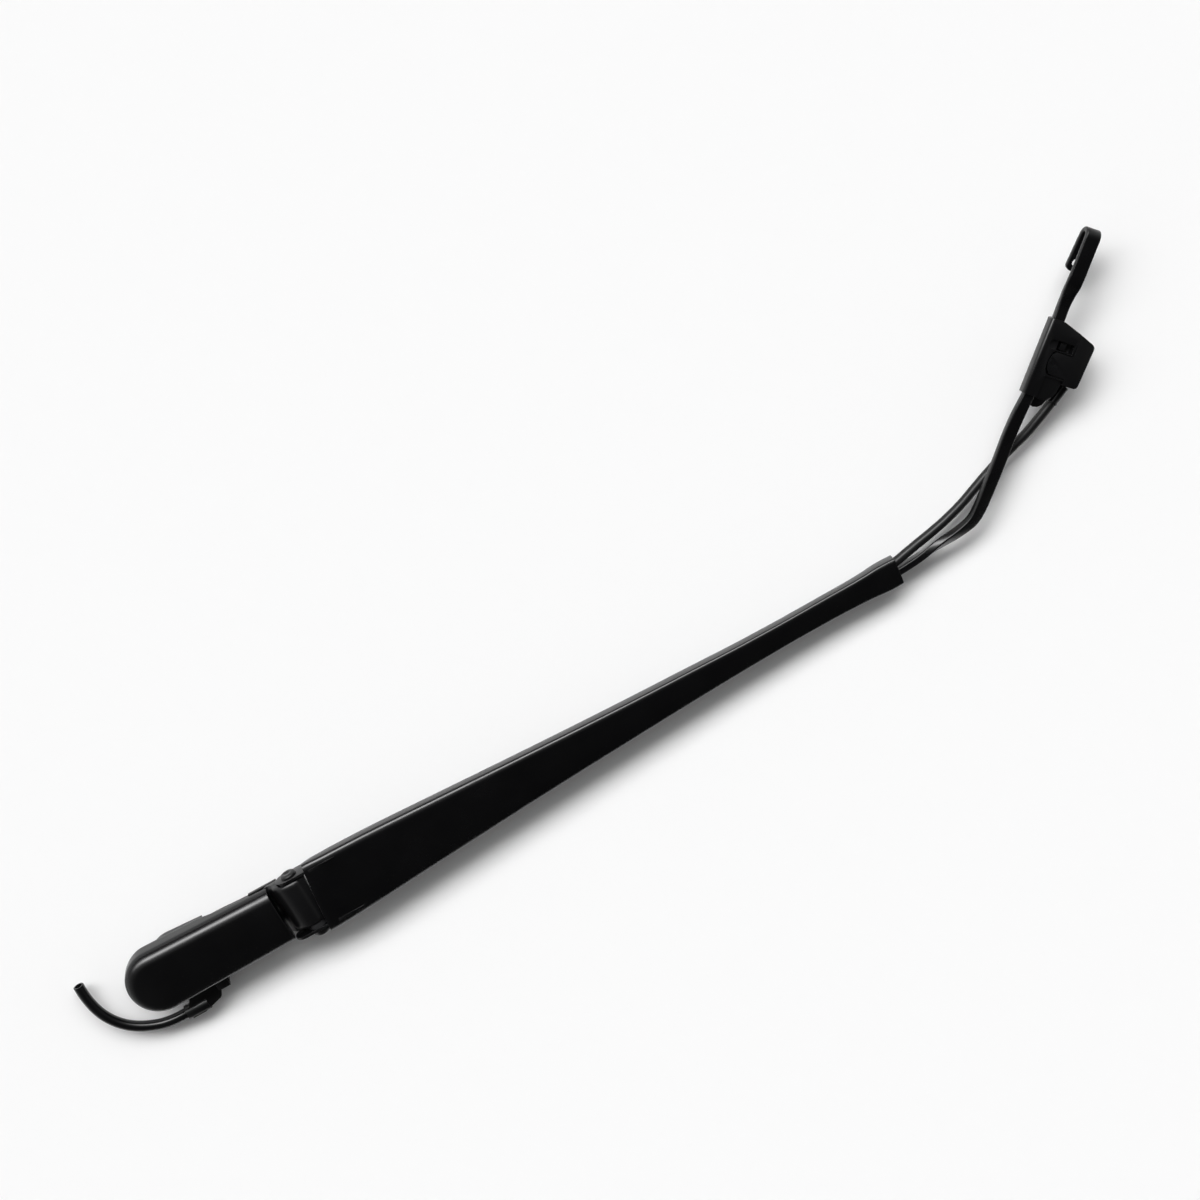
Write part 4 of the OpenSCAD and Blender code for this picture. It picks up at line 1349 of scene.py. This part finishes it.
@dataclass
class SpringPull:
    """The tension spring inside the channel, in millimetres."""

    start: Pair = (104.0, 8.9)
    end: Pair = (181.0, 18.2)
    outer: float = 4.6
    wire: float = 0.95
    turns: float = 37.0
    loop_r: float = 3.3
    loop_back: float = 1.8

    def build(self, finishes: Finishes) -> None:
        """Winds the spring and sets it in place between head and arm.

        Args:
            finishes: The part's finishes.
        """
        reach = Vector((self.end[0] - self.start[0], 0, self.end[1] - self.start[1]))
        tree = coil_tree()
        obj = line_object("spring", [Vector((0, 0, 0)), Vector((0, 0, 1))])
        tree.run(
            obj,
            {
                "Turns": self.turns,
                "Coil Radius": (self.outer - self.wire) * MM,
                "Length": (reach.length - 2 * self.wire) * MM,
                "Wire Radius": self.wire * MM,
                "Loop Radius": self.loop_r * MM,
                "Loop Reach": (self.loop_back + self.wire) * MM,
                "Material": finishes["spring_steel"],
            },
        )
        tilt = math.atan2(reach.z, reach.x)
        lift = Matrix.Translation((0, 0, self.wire * MM))
        turn = Matrix.Rotation(math.pi / 2 - tilt, 4, "Y")
        obj.data.transform(Matrix.Translation((self.start[0] * MM, 0, self.start[1] * MM)) @ turn @ lift)
        dress(obj, "spring_steel", finishes)
        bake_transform(obj)
        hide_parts("tension_spring")
        LOG.info("%s stretches between head and arm", obj.name)


@dataclass
class Softened:
    """A CAD node kept in its shape, with its edges rounded."""

    node: str
    slot: str
    body: Body
    bevel: float
    steps: int = 2
    limit: float = 40.0

    def build(self, finishes: Finishes) -> None:
        """Copies the node and rounds its edges.

        Args:
            finishes: The part's finishes.
        """
        piece = Piece(self.node + "_look")
        piece.node(self.node)
        obj = piece.done(bevel=self.bevel, steps=self.steps, limit=self.limit, recalculated=False)
        seat(dress(obj, self.slot, finishes), self.body, self.node)


SOFTENED = (
    Softened("head_casting", "casting_black", Body.HEAD, 0.45),
    Softened("spring_link", "plated_steel", Body.HEAD, 0.2),
    Softened("inlet_connector", "feed_plastic", Body.HEAD, 0.45),
    Softened("connector_clip", "clip_plastic", Body.HEAD, 0.25),
    Softened("spring_anchor", "plated_steel", Body.ARM, 0.2),
    Softened("hose_clip_inner", "clip_plastic", Body.ARM, 0.25),
    Softened("hose_clip_outer", "clip_plastic", Body.ARM, 0.25),
    Softened("jet_housing", "jet_plastic", Body.ARM, 0.35),
    Softened("jet_side_cover", "jet_plastic", Body.ARM, 0.45),
    Softened("jet_latch_plate", "jet_plastic", Body.ARM, 0.4),
)

PLAIN_NODES = {
    "hinge_bush_far": "bush_plastic",
    "hinge_bush_near": "bush_plastic",
    "link_pin": "plated_steel",
    "jet_clip_stud": "jet_plastic",
    "jet_nipple": "feed_plastic",
    "jet_nozzle_inner": "nozzle_brass",
    "jet_nozzle_outer": "nozzle_brass",
}


@dataclass
class Studio:
    """The camera, the pale floor and the soft light.

    The softbox is a band of the world's light on the +Y side. `band_from`, `band_to`,
    `band_soft` and `tail_soft` are sines of the height above the horizon, seen along X.
    """

    eye: Triple = (0.3135, 0.5182, 1.1772)
    right: Triple = (0.87715, -0.44833, 0.17210)
    upward: Triple = (0.48022, 0.81889, -0.31435)
    back: Triple = (0.0, 0.35837, 0.93358)
    lens: float = 66.66
    sensor: float = 36.0
    clip: Pair = (0.01, 100.0)
    floor: float = 0.93
    key_strength: float = 0.35
    fill_base: float = 0.03
    fill_side: float = 0.9
    key_from: Triple = (-0.10, 0.76, 0.64)
    key_angle: float = 20.0
    glow: float = 11.9
    band_from: float = 0.48
    band_to: float = 0.7
    band_soft: float = 0.09
    tail: float = 0.12
    tail_soft: float = 0.3
    band_width: float = 0.6
    horizon_gain: float = 20.0
    backdrop: float = 0.975
    floor_half: float = 12000.0
    floor_z: float = -0.02

    def camera(self) -> None:
        """Sets the camera at the photograph's place."""
        data = bpy.data.cameras.new("camera")
        data.lens, data.sensor_width = self.lens, self.sensor
        data.clip_start, data.clip_end = self.clip
        obj = bpy.data.objects.new("camera", data)
        axes = Matrix((self.right, self.upward, self.back)).transposed().to_4x4()
        obj.matrix_world = Matrix.Translation(Vector(self.eye)) @ axes
        bpy.context.scene.collection.objects.link(obj)
        bpy.context.scene.camera = obj

    def ground(self) -> None:
        """Lays the floor just under the part."""
        piece = Piece("floor")
        corners = ((-1, -1), (1, -1), (1, 1), (-1, 1))
        size, z = self.floor_half, self.floor_z
        piece.mesh.faces.new(piece.ring([(x * size, y * size, z) for x, y in corners]))
        obj = piece.done()
        made = bpy.data.materials.new("floor")
        tree = ShaderTree(made)
        pale = (self.floor, self.floor, self.floor, 1)
        shader = tree.add(
            "ShaderNodeBsdfPrincipled", {"Base Color": pale, "Roughness": 1.0, "Specular IOR Level": 0.0}
        )
        tree.add("ShaderNodeOutputMaterial", {"Surface": shader.outputs[0]})
        obj.data.materials.append(made)

    def light(self) -> None:
        """Sets the small key light and the room round it."""
        data = bpy.data.lights.new("key", "SUN")
        data.energy, data.angle = self.key_strength, math.radians(self.key_angle)
        obj = bpy.data.objects.new("key", data)
        obj.rotation_euler = Vector(self.key_from).to_track_quat("Z", "Y").to_euler()
        bpy.context.scene.collection.objects.link(obj)
        world = bpy.data.worlds.new("room")
        bpy.context.scene.world = world
        tree = ShaderTree(world)
        axes = tree.add("ShaderNodeSeparateXYZ", {0: tree.add("ShaderNodeTexCoord").outputs["Generated"]})
        sideways = Value(tree, axes.outputs[0]) ** 2.0
        low = (1.0 - Value(tree, axes.outputs[2])).clamped()
        ahead, height = Value(tree, axes.outputs[1]).clamped(), Value(tree, axes.outputs[2])
        slope = height / (ahead**2.0 + height**2.0) ** 0.5
        onset = ((slope - self.band_from) / self.band_soft).clamped()
        onset = onset * (ahead * self.horizon_gain).clamped()
        body = (1.0 - (slope - self.band_to) / self.band_soft).clamped()
        softbox = body + self.tail * (1.0 - (slope - self.band_to) / self.tail_soft).clamped()
        width = (1.0 - sideways / self.band_width).clamped()
        strength = self.fill_base + self.fill_side * sideways * low + self.glow * onset * softbox * width
        room = tree.add("ShaderNodeBackground", {"Color": (1.0, 1.0, 1.0, 1.0), "Strength": strength})
        plain = tree.add("ShaderNodeBackground", {"Color": (*[self.backdrop] * 3, 1.0), "Strength": 1.0})
        seen = tree.add("ShaderNodeLightPath").outputs["Is Camera Ray"]
        mixed = tree.add("ShaderNodeMixShader", {0: seen, 1: room.outputs[0], 2: plain.outputs[0]})
        tree.add("ShaderNodeOutputWorld", {"Surface": mixed.outputs[0]})

    def build(self) -> None:
        """Sets up the whole studio."""
        self.camera()
        self.ground()
        self.light()
        bpy.context.scene.view_settings.view_transform = "Standard"


SWEEP = sweep_tree()


def main() -> None:
    """Builds the studio and every piece of the part, in order."""
    logging.basicConfig(level=logging.INFO, format="%(name)s: %(message)s")
    Studio().build()
    finishes = Finishes({f.slot: f for f in PALETTE})
    cover = Cover()
    seat(dress(cover.build(), "cover_black", finishes), Body.COVER, "nut_cover")
    seat(dress(cover.stubs(), "cover_black", finishes), Body.COVER)
    seat(dress(Hinge().pin(), "pin_black", finishes), Body.ARM, "hinge_pin")
    seat(dress(Channel().build(), "channel_black", finishes), Body.ARM, "arm_channel")
    seat(dress(Rod().build(), "rod_black", finishes), Body.ARM, "hook_rod")
    SpringPull().build(finishes)
    Feed().build(finishes)
    for soft in SOFTENED:
        soft.build(finishes)
    for node, slot in PLAIN_NODES.items():
        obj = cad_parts[node]
        obj.data.materials.clear()
        obj.data.materials.append(finishes[slot])
        LOG.info("%s keeps its CAD shape", node)


if __name__ == "__main__":
    main()
